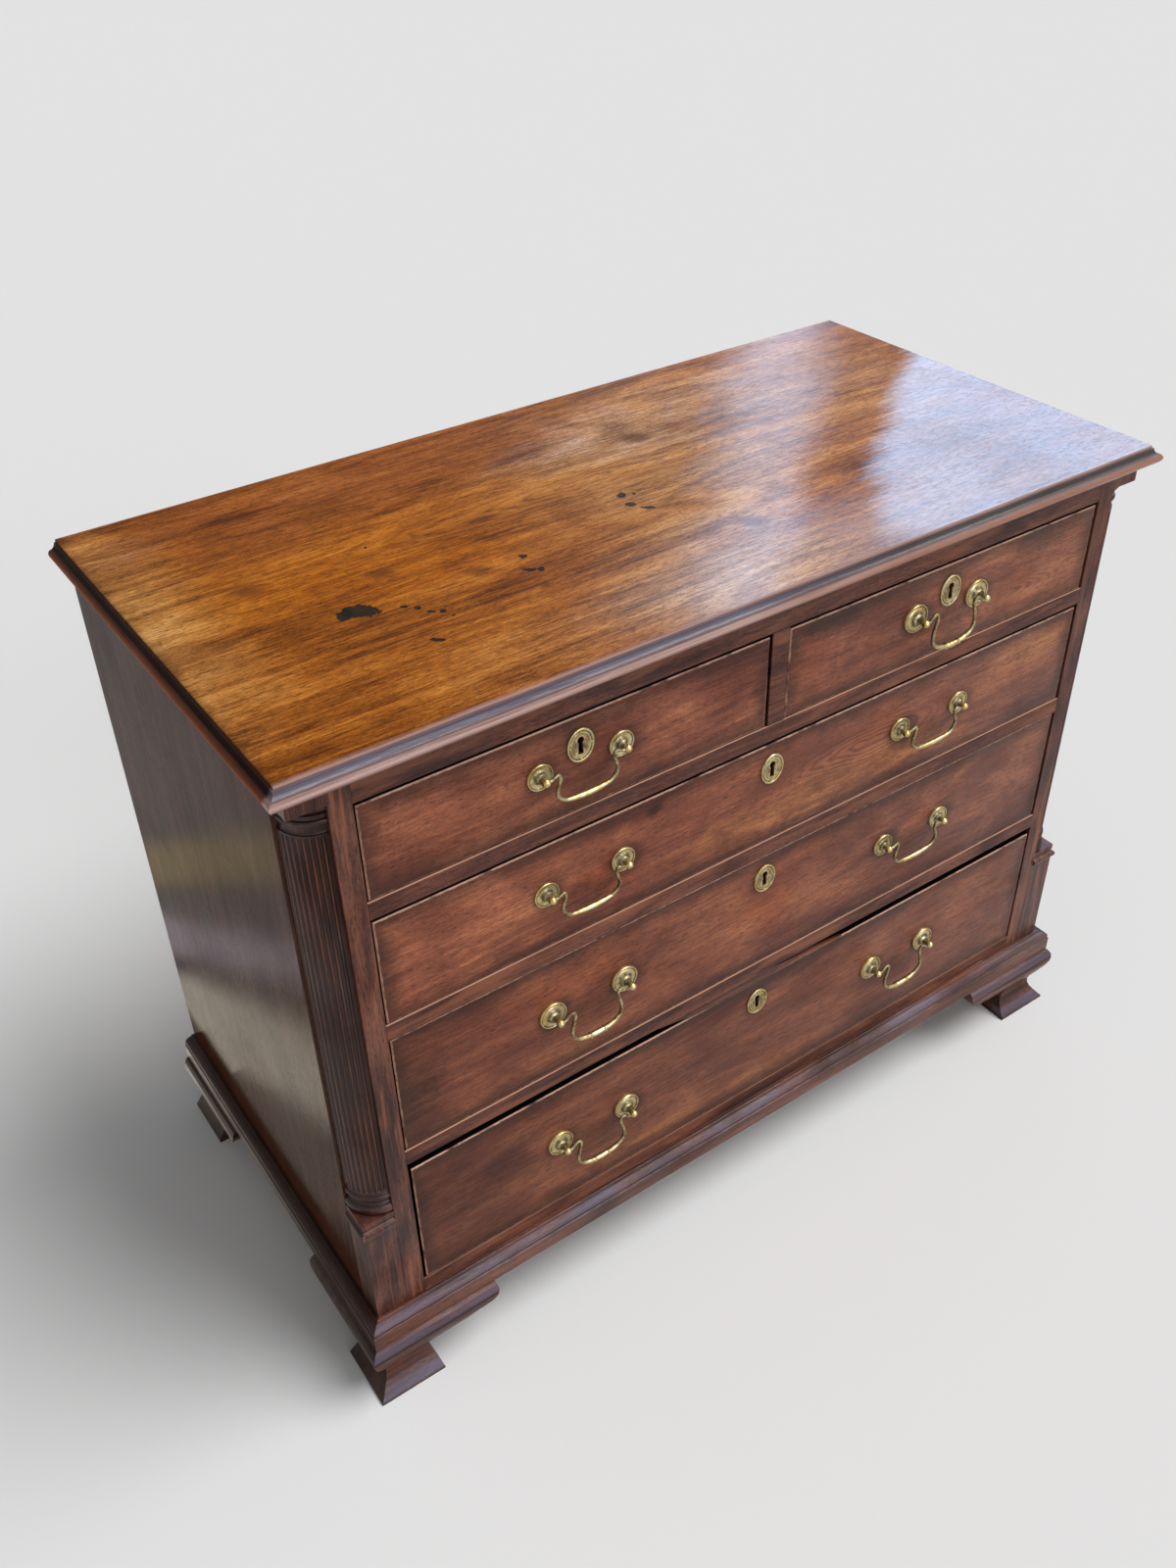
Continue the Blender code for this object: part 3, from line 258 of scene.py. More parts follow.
# Stained and faded patches of the drawer fronts: centre, reach, tone and strength
FRONT_PATCHES = {
    "short_left": (
        ((-0.430, 0.715), (0.050, 0.040), "front_dark", 0.55),
        ((-0.300, 0.790), (0.060, 0.018), "front_light", 0.35),
        ((-0.060, 0.780), (0.050, 0.035), "front_dark", 0.40),
        ((-0.130, 0.745), (0.060, 0.030), "front_light", 0.25),
    ),
    "short_right": (
        ((0.075, 0.795), (0.080, 0.020), "grime_and_painted_shade", 0.45),
        ((0.160, 0.760), (0.060, 0.045), "front_dark", 0.55),
        ((0.385, 0.790), (0.060, 0.020), "grime_and_painted_shade", 0.40),
        ((0.400, 0.735), (0.080, 0.020), "front_light", 0.35),
        ((0.315, 0.793), (0.045, 0.014), "front_light", 0.50),
    ),
    "upper": (
        ((0.080, 0.580), (0.240, 0.030), "golden", 0.50),
        ((-0.154, 0.659), (0.016, 0.012), "grime_and_painted_shade", 0.60),
        ((0.400, 0.650), (0.090, 0.030), "golden", 0.40),
        ((-0.330, 0.600), (0.110, 0.030), "front_light", 0.30),
        ((-0.215, 0.600), (0.050, 0.030), "front_red", 0.60),
        ((0.420, 0.575), (0.070, 0.030), "front_dark", 0.55),
        ((0.005, 0.655), (0.040, 0.025), "front_red", 0.50),
    ),
    "middle": (
        ((0.010, 0.455), (0.060, 0.050), "front_red", 0.65),
        ((-0.440, 0.420), (0.040, 0.090), "grime_and_painted_shade", 0.45),
        ((-0.060, 0.450), (0.120, 0.060), "front_light", 0.25),
        ((0.430, 0.400), (0.060, 0.060), "front_dark", 0.45),
        ((-0.270, 0.480), (0.120, 0.030), "front_red", 0.40),
    ),
    "lower": (
        ((-0.400, 0.260), (0.090, 0.090), "front_dark", 0.55),
        ((-0.050, 0.315), (0.050, 0.022), "front_red", 0.70),
        ((-0.300, 0.315), (0.160, 0.016), "front_red", 0.45),
        ((-0.280, 0.200), (0.150, 0.050), "front_light", 0.22),
        ((0.420, 0.210), (0.060, 0.070), "front_dark", 0.40),
        ((-0.100, 0.170), (0.200, 0.014), "golden", 0.30),
    ),
}
# Dirt on a drawer front round a rose, below a bail and round an escutcheon: reach and strength
ROSE_HALO = ((0.031, 1, 0.029), 0.68)
BAIL_HALO = ((0.046, 1, 0.024), 0.34)
PLATE_HALO = ((0.026, 1, 0.031), 0.62)
# How light each drawer front is at its left and right ends; the right end is also tinted greyer, a painted
# sheen
FRONT_SHADES = {"short_left": (1.15, 1.20), "short_right": (1.10, 1.12), "upper": (1.28, 1.08),
                "middle": (1.02, 1.00), "lower": (0.72, 0.98)}
# Split lip of the rail over the lower drawer: place along the rail, then its upper and lower edge as shares
# of the gap that it sags into
SPLIT_LIP = (
    (-0.146, 1.13, 0.98), (-0.118, 1.13, 0.60), (-0.094, 1.13, 0.20), (-0.060, 1.13, 0.07),
    (0.016, 1.13, 0.05), (0.030, 0.90, 0.05), (0.060, 0.62, 0.06), (0.095, 0.38, 0.06), (0.133, 0.15, 0.08),
)
LIP_FRONT = 0.0004
LIP_THICKNESS = 0.0050
LIP_ROUNDING = 0.0003
# Two places this near count as one
SAME = 0.00001
FLOOR_SIZE = 80
# Patch of painted light on the floor in front of the chest, lifting the chest's shade there: centre and
# reach
FLOOR_LIGHT_POOL = ((0.5, -1.0, 0), (2.2, 1.7, 1))
FRAME_HEIGHT = 36
# Suns that light the chest: where they stand, the setting that drives them and their spread in degrees
SUNS = (("key_light", (1.30, -0.95, 2.6), "key", 36), ("fill_light", (0.6, -3.0, 0.85), "fill", 50))
# High screens, seen only as gloss on the top and on the mouldings: place, size and share of the sheen
SCREENS = (
    ("rear_screen", (3.60, 2.60, 2.8), (3.3, 2.0), 2.9), ("front_screen", (0.7, -3.6, 2.0), (3.4, 2.8), 2.0),
)
SCREEN_TARGET = (0.2, -0.1, 0.86)
SCREEN_COLOUR = (0.42, 0.65, 1.0)
SCREEN_LIFT = 0.002
# Low screens on the floor at the chest's left, seen only as bands of gloss on its side:
# centre, size, turn in degrees, colour and brightness
SIDE_SCREENS = (
    ("dusk_screen", (-0.588, 0.120), (0.34, 0.100), 72.0, (1.00, 0.86, 0.70), 0.36),
    ("beige_screen", (-0.613, 0.322), (0.42, 0.135), 63.2, (1.00, 0.90, 0.72), 2.00),
    ("violet_screen", (-0.671, 0.532), (0.42, 0.070), 52.0, (1.00, 0.84, 1.00), 1.10),
    ("olive_screen", (-0.735, 0.750), (0.42, 0.115), 32.8, (1.00, 0.72, 0.10), 0.70),
)


def paint(name, description, *default):
    """A colour that the sidebar shows, given as red, green and blue."""
    return FloatVectorProperty(name=name, description=description, subtype="COLOR", size=3, default=default)


def measure(name, description, default, low, high):
    """A length that the sidebar shows, in metres."""
    return FloatProperty(name=name, description=description, subtype="DISTANCE", unit="LENGTH",
                         default=default, min=low, max=high)


def turning(name, description, default):
    """An angle that the sidebar shows, given in radians."""
    return FloatProperty(name=name, description=description, subtype="ANGLE", default=default)


class ChestWood(bpy.types.PropertyGroup):
    """Colours and figure of the wood."""

    top_dark: paint("Top Dark", "Darkest streaks of the top", 0.115, 0.030, 0.004)
    top_mid: paint("Top", "Main colour of the top", 0.350, 0.104, 0.011)
    top_light: paint("Top Light", "Palest streaks of the top", 0.600, 0.225, 0.034)
    amber: paint("Amber", "Warm patches of the top", 0.370, 0.100, 0.005)
    russet: paint("Russet", "Red patches of the top", 0.210, 0.052, 0.012)
    faded: paint("Faded", "Bleached patches of the top", 0.440, 0.205, 0.055)
    front_dark: paint("Front Dark", "Darkest streaks of the drawer fronts", 0.105, 0.029, 0.017)
    front_mid: paint("Front", "Main colour of the drawer fronts", 0.195, 0.060, 0.031)
    front_light: paint("Front Light", "Palest streaks of the drawer fronts", 0.330, 0.115, 0.054)
    front_red: paint("Front Red", "Red patches of the drawer fronts", 0.180, 0.042, 0.018)
    golden: paint("Golden", "Golden brown patches of the drawer fronts", 0.310, 0.115, 0.040)
    case_dark: paint("Case Dark", "Darkest streaks of the case and feet", 0.034, 0.011, 0.008)
    case_mid: paint("Case", "Main colour of the case and feet", 0.088, 0.028, 0.018)
    case_light: paint("Case Light", "Palest streaks of the case and feet", 0.180, 0.062, 0.035)
    side_dark: paint("Side Dark", "Darkest streaks of the case sides", 0.041, 0.017, 0.011)
    side_mid: paint("Side", "Main colour of the case sides", 0.073, 0.032, 0.020)
    side_light: paint("Side Light", "Palest streaks of the case sides", 0.110, 0.050, 0.032)
    rust: paint("Rust", "Dark red foot of the case sides", 0.062, 0.021, 0.010)
    rubbed: paint("Rubbed", "Rubbed nosing at the ends of the top", 0.300, 0.078, 0.016)
    # Rubbed wood along the front of the top, and with it a painted highlight and sheen on that edge
    nosing: paint("Nosing", "Rubbed nosing along the front of the top", 0.480, 0.300, 0.260)
    # Painted sheen: a bluish tint on the mouldings' slopes that face up and forward, and at the left of the
    # top's front cove
    painted_cold_sheen: paint("Cold", "Cold sheen on the mouldings that face up and forward", 0.095, 0.080, 0.120)
    lining_dark: paint("Lining Dark", "Darkest streaks of the drawer linings", 0.170, 0.095, 0.045)
    lining_mid: paint("Lining", "Main colour of the drawer linings", 0.300, 0.185, 0.095)
    lining_light: paint("Lining Light", "Palest streaks of the drawer linings", 0.430, 0.290, 0.160)
    # Worn wood on the edges, and also the painted highlight in the pale lines along the rails' arrises
    worn: paint("Worn Edge", "Wood where the finish is worn off the edges", 0.600, 0.330, 0.230)
    # Old wax and dirt, and also painted shade under the top's nosing, under the mouldings' slopes and in the
    # columns' flutes and hollows
    grime_and_painted_shade: paint("Grime", "Old wax and dirt in the corners", 0.020, 0.009, 0.006)
    # Painted shade: near black laid in the gaps round the drawers, behind the rails' faces and in the top's
    # cove
    painted_deep_shade: paint("Soot", "Dust blackened in the gaps round the drawers", 0.003, 0.002, 0.002)
    ink: paint("Ink", "Ink spots on the top", 0.009, 0.011, 0.008)
    wear: measure("Wear", "Width of the worn edges", 0.0016, 0, 0.01)
    gloss: FloatProperty(name="Gloss", description="Mirror strength of the wood under its wax",
                         subtype="FACTOR", default=0.12, min=0, max=1)
    polish: FloatProperty(name="Polish", description="Roughness of the waxed wood", subtype="FACTOR",
                          default=0.30, min=0, max=1)


class ChestBrass(bpy.types.PropertyGroup):
    """Sizes and colours of the brasses."""

    bright: paint("Bright", "Brass that hands keep clean", 0.560, 0.460, 0.250)
    golden: paint("Golden", "Warm patches of the brass", 0.500, 0.335, 0.105)
    dull: paint("Dull", "Brass with a dull skin", 0.200, 0.150, 0.065)
    dirt: paint("Dirt", "Dark green dirt in the hollows", 0.034, 0.027, 0.014)
    centres: measure("Centres", "Distance between a handle's posts", 0.091, 0.05, 0.2)
    bar: measure("Bar", "Radius of a bail's thinnest part", 0.0017, 0.0005, 0.01)
    eye: measure("Eye", "Radius of the eye in a post", 0.0020, 0.0005, 0.01)
    pin: measure("Pin", "Radius of an escutcheon pin's head", 0.0013, 0.0003, 0.01)
    sides: IntProperty(name="Sides", description="Sides of a turned brass piece", default=48, min=8, max=96)


class ChestStage(bpy.types.PropertyGroup):
    """Floor, lamps and camera."""

    backdrop: paint("Backdrop", "Colour that the camera sees round the chest", 0.765, 0.765, 0.765)
    floor: paint("Floor", "Colour of the floor", 0.765, 0.765, 0.765)
    # Painted light: the floor made paler in front of the chest
    pool: paint("Floor In Front", "Colour of the floor in front of the chest", 0.785, 0.785, 0.785)
    air: FloatProperty(name="Air", description="Light from all round", default=0.26, min=0, max=5)
    key: FloatProperty(name="Key", description="Strength of the soft light from above on the right",
                       default=2.45, min=0, max=20)
    fill: FloatProperty(name="Fill", description="Strength of the low soft light in front", default=0.86,
                        min=0, max=20)
    sheen: FloatProperty(name="Sheen", description="Power of the screens that show as gloss", default=42,
                         min=0, max=500)
    camera_place: FloatVectorProperty(name="Camera Place", description="Where the camera stands",
                                      subtype="TRANSLATION", unit="LENGTH", size=3,
                                      default=(-0.8284, -1.1315, 1.5216))
    camera_turn: turning("Camera Turn", "Turn to the right of straight ahead", 0.5935)
    camera_dip: turning("Camera Dip", "Tilt below the horizon", 0.6418)
    camera_roll: turning("Camera Roll", "Roll about the line of sight", -0.0260)
    camera_lens: FloatProperty(name="Lens", description="Focal length over a frame 36 mm high",
                               subtype="DISTANCE_CAMERA", default=32.728)


# Finishes


class Finish:
    """A material being mixed: each method adds a node and gives back its output."""

    def __init__(self, name):
        self.material = bpy.data.materials.new(name)
        self.material.use_nodes = True
        self.tree = self.material.node_tree
        self.shader = self.tree.nodes["Principled BSDF"]
        self.place = self.tree.nodes.new("ShaderNodeTexCoord").outputs["Object"]
        split = self.tree.nodes.new("ShaderNodeSeparateXYZ")
        self.feed(split.inputs[0], self.place)
        self.along = split.outputs

    def feed(self, socket, value):
        if isinstance(value, bpy.types.NodeSocket):
            self.tree.links.new(value, socket)
        else:
            socket.default_value = value

    def math(self, operation, *values):
        node = self.tree.nodes.new("ShaderNodeMath")
        node.operation = operation
        for socket, value in zip(node.inputs, values):
            self.feed(socket, value)
        return node.outputs[0]

    def times(self, *values):
        return self.math("MULTIPLY", *values)

    def scaled(self, value, factor, shift):
        return self.math("MULTIPLY_ADD", value, factor, shift)

    def away(self, value, level):
        """How far a value is from a level, to either side."""
        return self.math("ABSOLUTE", self.math("SUBTRACT", value, level))

    def step(self, value, low, high):
        """0 below low and 1 above high, with a soft step between, or the other way round."""
        node = self.tree.nodes.new("ShaderNodeMapRange")
        node.interpolation_type = "SMOOTHSTEP"
        self.feed(node.inputs["Value"], value)
        first, last = sorted((low, high))
        node.inputs["From Min"].default_value = first
        node.inputs["From Max"].default_value = last
        node.inputs["To Min"].default_value = float(low > high)
        node.inputs["To Max"].default_value = float(low <= high)
        return node.outputs[0]

    def noise(self, scale, seed, detail, roughness, distortion):
        """Noise with its own number of changes in a metre along X, Y and Z."""
        place = self.tree.nodes.new("ShaderNodeMapping")
        self.feed(place.inputs["Vector"], self.place)
        place.inputs["Location"].default_value = [seed * shift for shift in SEED_SHIFTS]
        place.inputs["Scale"].default_value = scale
        node = self.tree.nodes.new("ShaderNodeTexNoise")
        self.feed(node.inputs["Vector"], place.outputs[0])
        node.inputs["Scale"].default_value = 1.0
        node.inputs["Detail"].default_value = detail
        node.inputs["Roughness"].default_value = roughness
        node.inputs["Distortion"].default_value = distortion
        return node.outputs[0]

    def ramp(self, value, stops):
        node = self.tree.nodes.new("ShaderNodeValToRGB")
        self.feed(node.inputs[0], value)
        while len(node.color_ramp.elements) < len(stops):
            node.color_ramp.elements.new(0.5)
        for element, (position, colour) in zip(node.color_ramp.elements, stops):
            element.position = position
            element.color = (*colour, 1.0)
        return node.outputs[0]

    def blend(self, first, second, share, mode="MIX"):
        node = self.tree.nodes.new("ShaderNodeMix")
        node.data_type = "RGBA"
        node.blend_type = mode
        for number, value in ((0, share), (6, first), (7, second)):
            if not isinstance(value, (float, int, bpy.types.NodeSocket)):
                value = (*value, 1.0)
            self.feed(node.inputs[number], value)
        return node.outputs[2]

    def stain(self, colour, tone, mask, strength):
        """Lays a tone over a colour where a mask is."""
        return self.blend(colour, tone, self.times(mask, strength))

    def relief(self, height, depth):
        node = self.tree.nodes.new("ShaderNodeBump")
        node.inputs["Strength"].default_value = 1.0
        node.inputs["Distance"].default_value = depth
        self.feed(node.inputs["Height"], height)
        self.feed(self.shader.inputs["Normal"], node.outputs[0])
        self.feed(self.shader.inputs["Coat Normal"], node.outputs[0])


def grain_scale(axis, lengthwise, crosswise):
    """Stretches a pattern along one axis: few changes along it, many across it."""
    return tuple(lengthwise if number == axis else crosswise for number in (X, Y, Z))


def wood_tone(finish, tones, axis, seed, lines=0.10, clouds=0.42, fibre=0.46):
    """Colour and relief of a board: streaks, clouds, growth lines, fibre and pores along one axis."""
    streaks = finish.noise(grain_scale(axis, 3.2, 30), seed, 6, 0.66, 0.5)
    cloud = finish.noise(grain_scale(axis, 5.0, 10), seed + 5, 4, 0.62, 0.8)
    swell = finish.noise(grain_scale(axis, 1.2, 7.0), seed + 2, 2, 0.5, 0.8)
    rings = finish.scaled(finish.math("SINE", finish.times(swell, 62.0)), 0.5, 0.5)
    fibres = finish.noise(grain_scale(axis, 16, 300), seed + 9, 6, 0.84, 0.2)
    speck = finish.noise(grain_scale(axis, 330, 520), seed + 14, 3, 0.7, 0.0)
    tone = finish.scaled(streaks, 0.60 - lines - clouds, 0.12 - fibre / 2)
    tone = finish.scaled(speck, 0.16, tone)
    tone = finish.scaled(cloud, clouds, tone)
    tone = finish.scaled(rings, lines, tone)
    tone = finish.scaled(fibres, fibre, tone)
    dark, mid, light = (tuple(colour) for colour in tones)
    colour = finish.ramp(tone, ((0.40, dark), (0.50, mid), (0.61, light)))
    pores = finish.noise(grain_scale(axis, 110, 900), seed + 7, 2, 0.5, 0.0)
    flecks = finish.step(pores, 0.53, 0.64)
    colour = finish.stain(colour, [share * 0.45 for share in dark], flecks, 0.60)
    return colour, finish.scaled(flecks, -0.6, fibres)


def arched_figure(finish, colour, light, dark, centre, reach, seed, strength):
    """Nested arches of growth lines round a long oval, fading out at its rim."""
    oval = spot_reach(finish, centre, reach)
    waver = finish.noise((6, 14, 14), seed, 3, 0.55, 0.6)
    oval = finish.scaled(waver, 0.9, oval)
    lines = finish.scaled(finish.math("SINE", finish.times(oval, 46.0)), 0.5, 0.5)
    inside = finish.times(finish.step(oval, 1.6, 0.9), strength)
    colour = finish.stain(colour, light, inside, lines)
    return finish.stain(colour, dark, inside, finish.step(lines, 0.16, 0.02))


def edge_reach(finish, limits):
    """Distance in from the nearest of several edges, each pair given as (axis, low, high)."""
    nearest = None
    for axis, low, high in limits:
        off = finish.away(finish.along[axis], (low + high) / 2)
        inside = finish.math("SUBTRACT", (high - low) / 2, off)
        nearest = inside if nearest is None else finish.math("MINIMUM", nearest, inside)
    return nearest


def spot_reach(finish, centre, reach, slant=0.0):
    """0 at a spot's centre and 1 at its rim."""
    node = finish.tree.nodes.new("ShaderNodeMapping")
    node.vector_type = "TEXTURE"
    finish.feed(node.inputs["Vector"], finish.place)
    node.inputs["Location"].default_value = centre
    node.inputs["Rotation"].default_value = (0, 0, slant)
    node.inputs["Scale"].default_value = reach
    length = finish.tree.nodes.new("ShaderNodeVectorMath")
    length.operation = "LENGTH"
    finish.feed(length.inputs[0], node.outputs[0])
    return length.outputs["Value"]


def wear_edges(finish, colour, reach, wood, seed):
    """Pale worn edges with a darker band of old wax inside them."""
    patch = finish.noise((28, 28, 28), seed + 11, 4, 0.6, 0.3)
    scrape = finish.noise((160, 160, 160), seed + 12, 3, 0.6, 0.0)
    ragged = finish.scaled(patch, -0.022, reach)
    band = finish.times(finish.step(ragged, 0.016, -0.011), 0.675)
    colour = finish.blend(colour, wood.grime_and_painted_shade, band)
    torn = finish.scaled(scrape, -1.3 * wood.wear, reach)
    bare = finish.step(torn, 0.6 * wood.wear, -0.4 * wood.wear)
    bare = finish.times(bare, finish.step(patch, 0.32, 0.52))
    return finish.stain(colour, wood.worn, bare, 0.9)


def wax(finish, colour, height, wood, seed, depth=0.00010, *, polish=None, coat=0.18, gloss=None, even=0.0,
        film=0.22):
    """Wax over the colour: a more or less broken gloss and a slight relief of grain and dents.

    Coat is how strong the gloss is, even how little it is broken, and film how rough it is.
    """
    base = wood.polish if polish is None else polish
    smear = finish.noise((9, 9, 9), seed + 15, 4, 0.6, 0.5)
    dents = finish.noise((13, 13, 13), seed + 17, 2, 0.5, 0.0)
    shader = finish.shader.inputs
    finish.feed(shader["Base Color"], colour)
    finish.feed(shader["Roughness"], finish.scaled(smear, 0.30, base - 0.05))
    shader["Specular IOR Level"].default_value = wood.gloss if gloss is None else gloss
    spread = finish.scaled(finish.step(smear, 0.25, 0.65), 1 - even, even)
    finish.feed(shader["Coat Weight"], finish.times(spread, coat))
    shader["Coat Roughness"].default_value = film
    shader["Coat IOR"].default_value = 1.5
    finish.relief(finish.scaled(dents, 2.5, height), depth)
    return finish.material


def case_tones(wood):
    return wood.case_dark, wood.case_mid, wood.case_light


def lining_tones(wood):
    return wood.lining_dark, wood.lining_mid, wood.lining_light


def top_finish(wood):
    """Honey brown top with arched figure, ink spots, a rubbed nosing with a painted highlight, a cove of
    painted shade, and a window's gloss over wood painted darker under its brightest part.
    """
    finish = Finish("honey_mahogany")
    tones = (wood.top_dark, wood.top_mid, wood.top_light)
    colour, height = wood_tone(finish, tones, X, 1.0, 0.05, 0.26, 0.52)
    _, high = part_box("top_board")
    blotch = finish.noise((7, 13, 9), 31, 5, 0.64, 0.9)
    for centre, reach, tone, strength in TOP_PATCHES:
        spot = finish.scaled(blotch, 1.1, spot_reach(finish, (*centre, high.z), (*reach, 1)))
        share = finish.times(finish.step(spot, 1.75, 0.75), strength)
        tint = [patch / plain for patch, plain in zip(getattr(wood, tone), wood.top_mid)]
        colour = finish.blend(colour, tint, share, "MULTIPLY")
    for number, (centre, reach, strength) in enumerate(TOP_ARCHES):
        colour = arched_figure(finish, colour, wood.top_light, wood.top_dark, (*centre, high.z), (*reach, 1),
                               51 + number, strength)
    colour = finish.stain(colour, wood.top_dark, finish.step(blotch, 0.54, 0.72), 0.24)
    lines = finish.noise((34, 5, 34), 41, 2, 0.5, 1.5)
    scratch = finish.step(finish.away(lines, 0.5), 0.004, 0.0)
    colour = finish.stain(colour, wood.top_dark, scratch, 0.45)
    ragged = finish.noise((150, 150, 150), 43, 3, 0.6, 0.5)
    for centre, reach in BRUISES:
        spot = spot_reach(finish, (*centre, high.z), (*reach, 1), INK_SLANT)
        spot = finish.scaled(blotch, 1.6, spot)
        colour = finish.stain(colour, wood.top_dark, finish.step(spot, 1.9, 0.9), 0.75)
    for centre, reach in INK_SPOTS:
        spot = spot_reach(finish, (*centre, high.z), (*reach, 1), INK_SLANT)
        spot = finish.scaled(ragged, 1.3, spot)
        colour = finish.stain(colour, wood.ink, finish.step(spot, 1.70, 1.52), 0.93)
    shine, window_sheet = window_gloss(finish)
    # Painted reflection: the wood is darkened under the window's gloss, so that the gloss reads bluer
    colour = finish.stain(colour, wood.top_dark, window_sheet, 0.50)
    colour, rim = edge_of_top(finish, colour, wood, blotch)
    shine = finish.math("MAXIMUM", shine, finish.times(rim, 0.75))
    return wax(finish, colour, height, wood, 1.0, 0.00012, coat=shine, gloss=0.02, even=0.75)


def edge_of_top(finish, colour, wood, blotch):
    """The moulded edge: a cove of painted shade over a nosing rubbed orange, painted shade at the moulding's
    foot under the nosing, and old wax along the rim.

    The front edge is paler and bluer, a painted sheen and highlight, and is given back as a mask for its
    gloss.
    """
    low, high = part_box("top_board")
    reach = edge_reach(finish, ((X, low.x, high.x), (Y, low.y, high.y + 0.02)))
    band = finish.scaled(blotch, -0.016, reach)
    colour = finish.stain(colour, wood.grime_and_painted_shade, finish.step(band, 0.012, -0.004), 0.55)
    drop = finish.math("SUBTRACT", high.z, finish.along[Z])
    streak = finish.noise((7, 7, 420), 47, 4, 0.7, 0.2)
    drop = finish.scaled(streak, 0.0016, finish.math("SUBTRACT", drop, 0.0008))
    front = finish.step(finish.along[Y], low.y + 0.016, low.y + 0.010)
    leftward = finish.step(finish.along[X], 0.30, -0.15)
    under = finish.step(drop, 0.0006, 0.0025)
    # Painted sheen: the front of the moulded edge is made paler
    plain = finish.stain(wood.case_mid, wood.nosing, front, 0.35)
    colour = finish.stain(colour, plain, under, 0.9)
    # Painted shade in the cove, with a painted bluish sheen at the left of the front
    cove = finish.step(finish.away(drop, COVE_DROP), 0.0045, 0.0020)
    painted_cove_shade_and_sheen = finish.stain(wood.painted_deep_shade, wood.painted_cold_sheen, finish.times(front, leftward), 0.75)
    colour = finish.stain(colour, painted_cove_shade_and_sheen, cove, 0.90)
    nose = finish.step(finish.away(drop, NOSE_DROP), 0.0042, 0.0010)
    rub = finish.times(nose, finish.step(streak, 0.25, 0.55))
    # The nosing: rubbed wood, and along the front, rosy at the left, a painted highlight
    rosy_rub_and_highlight = finish.blend(wood.front_light, wood.nosing, leftward)
    bare = finish.blend(wood.rubbed, rosy_rub_and_highlight, front)
    colour = finish.stain(colour, bare, rub, 0.90)
    # A pale line along the front arris: rubbed wood and a painted highlight
    arris = finish.step(finish.away(drop, ARRIS_DROP), 0.0018, 0.0006)
    colour = finish.stain(colour, wood.nosing, finish.times(arris, front), 0.75)
    # Painted shade at the foot of the moulding, under the nosing
    foot = finish.step(drop, *FOOT_DROP)
    colour = finish.stain(colour, wood.grime_and_painted_shade, foot, 0.7)
    return colour, finish.times(finish.times(under, front), finish.step(streak, 0.30, 0.60))


def window_gloss(finish):
    """Gloss across the right of the top, broken by a slanting dull band, and its brightest part."""
    streak = finish.noise((2.6, 9, 7), 61, 4, 0.6, 0.5)
    hair = finish.noise((14, 260, 7), 63, 3, 0.6, 0.2)
    wobble = finish.scaled(streak, 0.07, -0.035)
    wobble = finish.scaled(hair, 0.035, wobble)
    levels = []
    for across, along, shift in (GLOSS_EDGE, PALE_BAND):
        level = finish.scaled(finish.along[X], across, finish.math("ADD", wobble, shift))
        levels.append(finish.scaled(finish.along[Y], along, level))
    window_sheet = finish.times(finish.step(levels[0], 0.026, 0.064), finish.step(finish.along[X], 0.105, 0.215))
    pale = finish.times(finish.step(finish.math("ABSOLUTE", levels[1]), 0.105, 0.005), 0.54)
    pale = finish.times(pale, finish.step(levels[0], 0.000, -0.050))
    front = finish.step(spot_reach(finish, *FRONT_HAZE), 1.0, 0.2)
    haze = finish.times(front, 0.34)
    return finish.math("ADD", finish.math("MAXIMUM", window_sheet, pale), haze), window_sheet


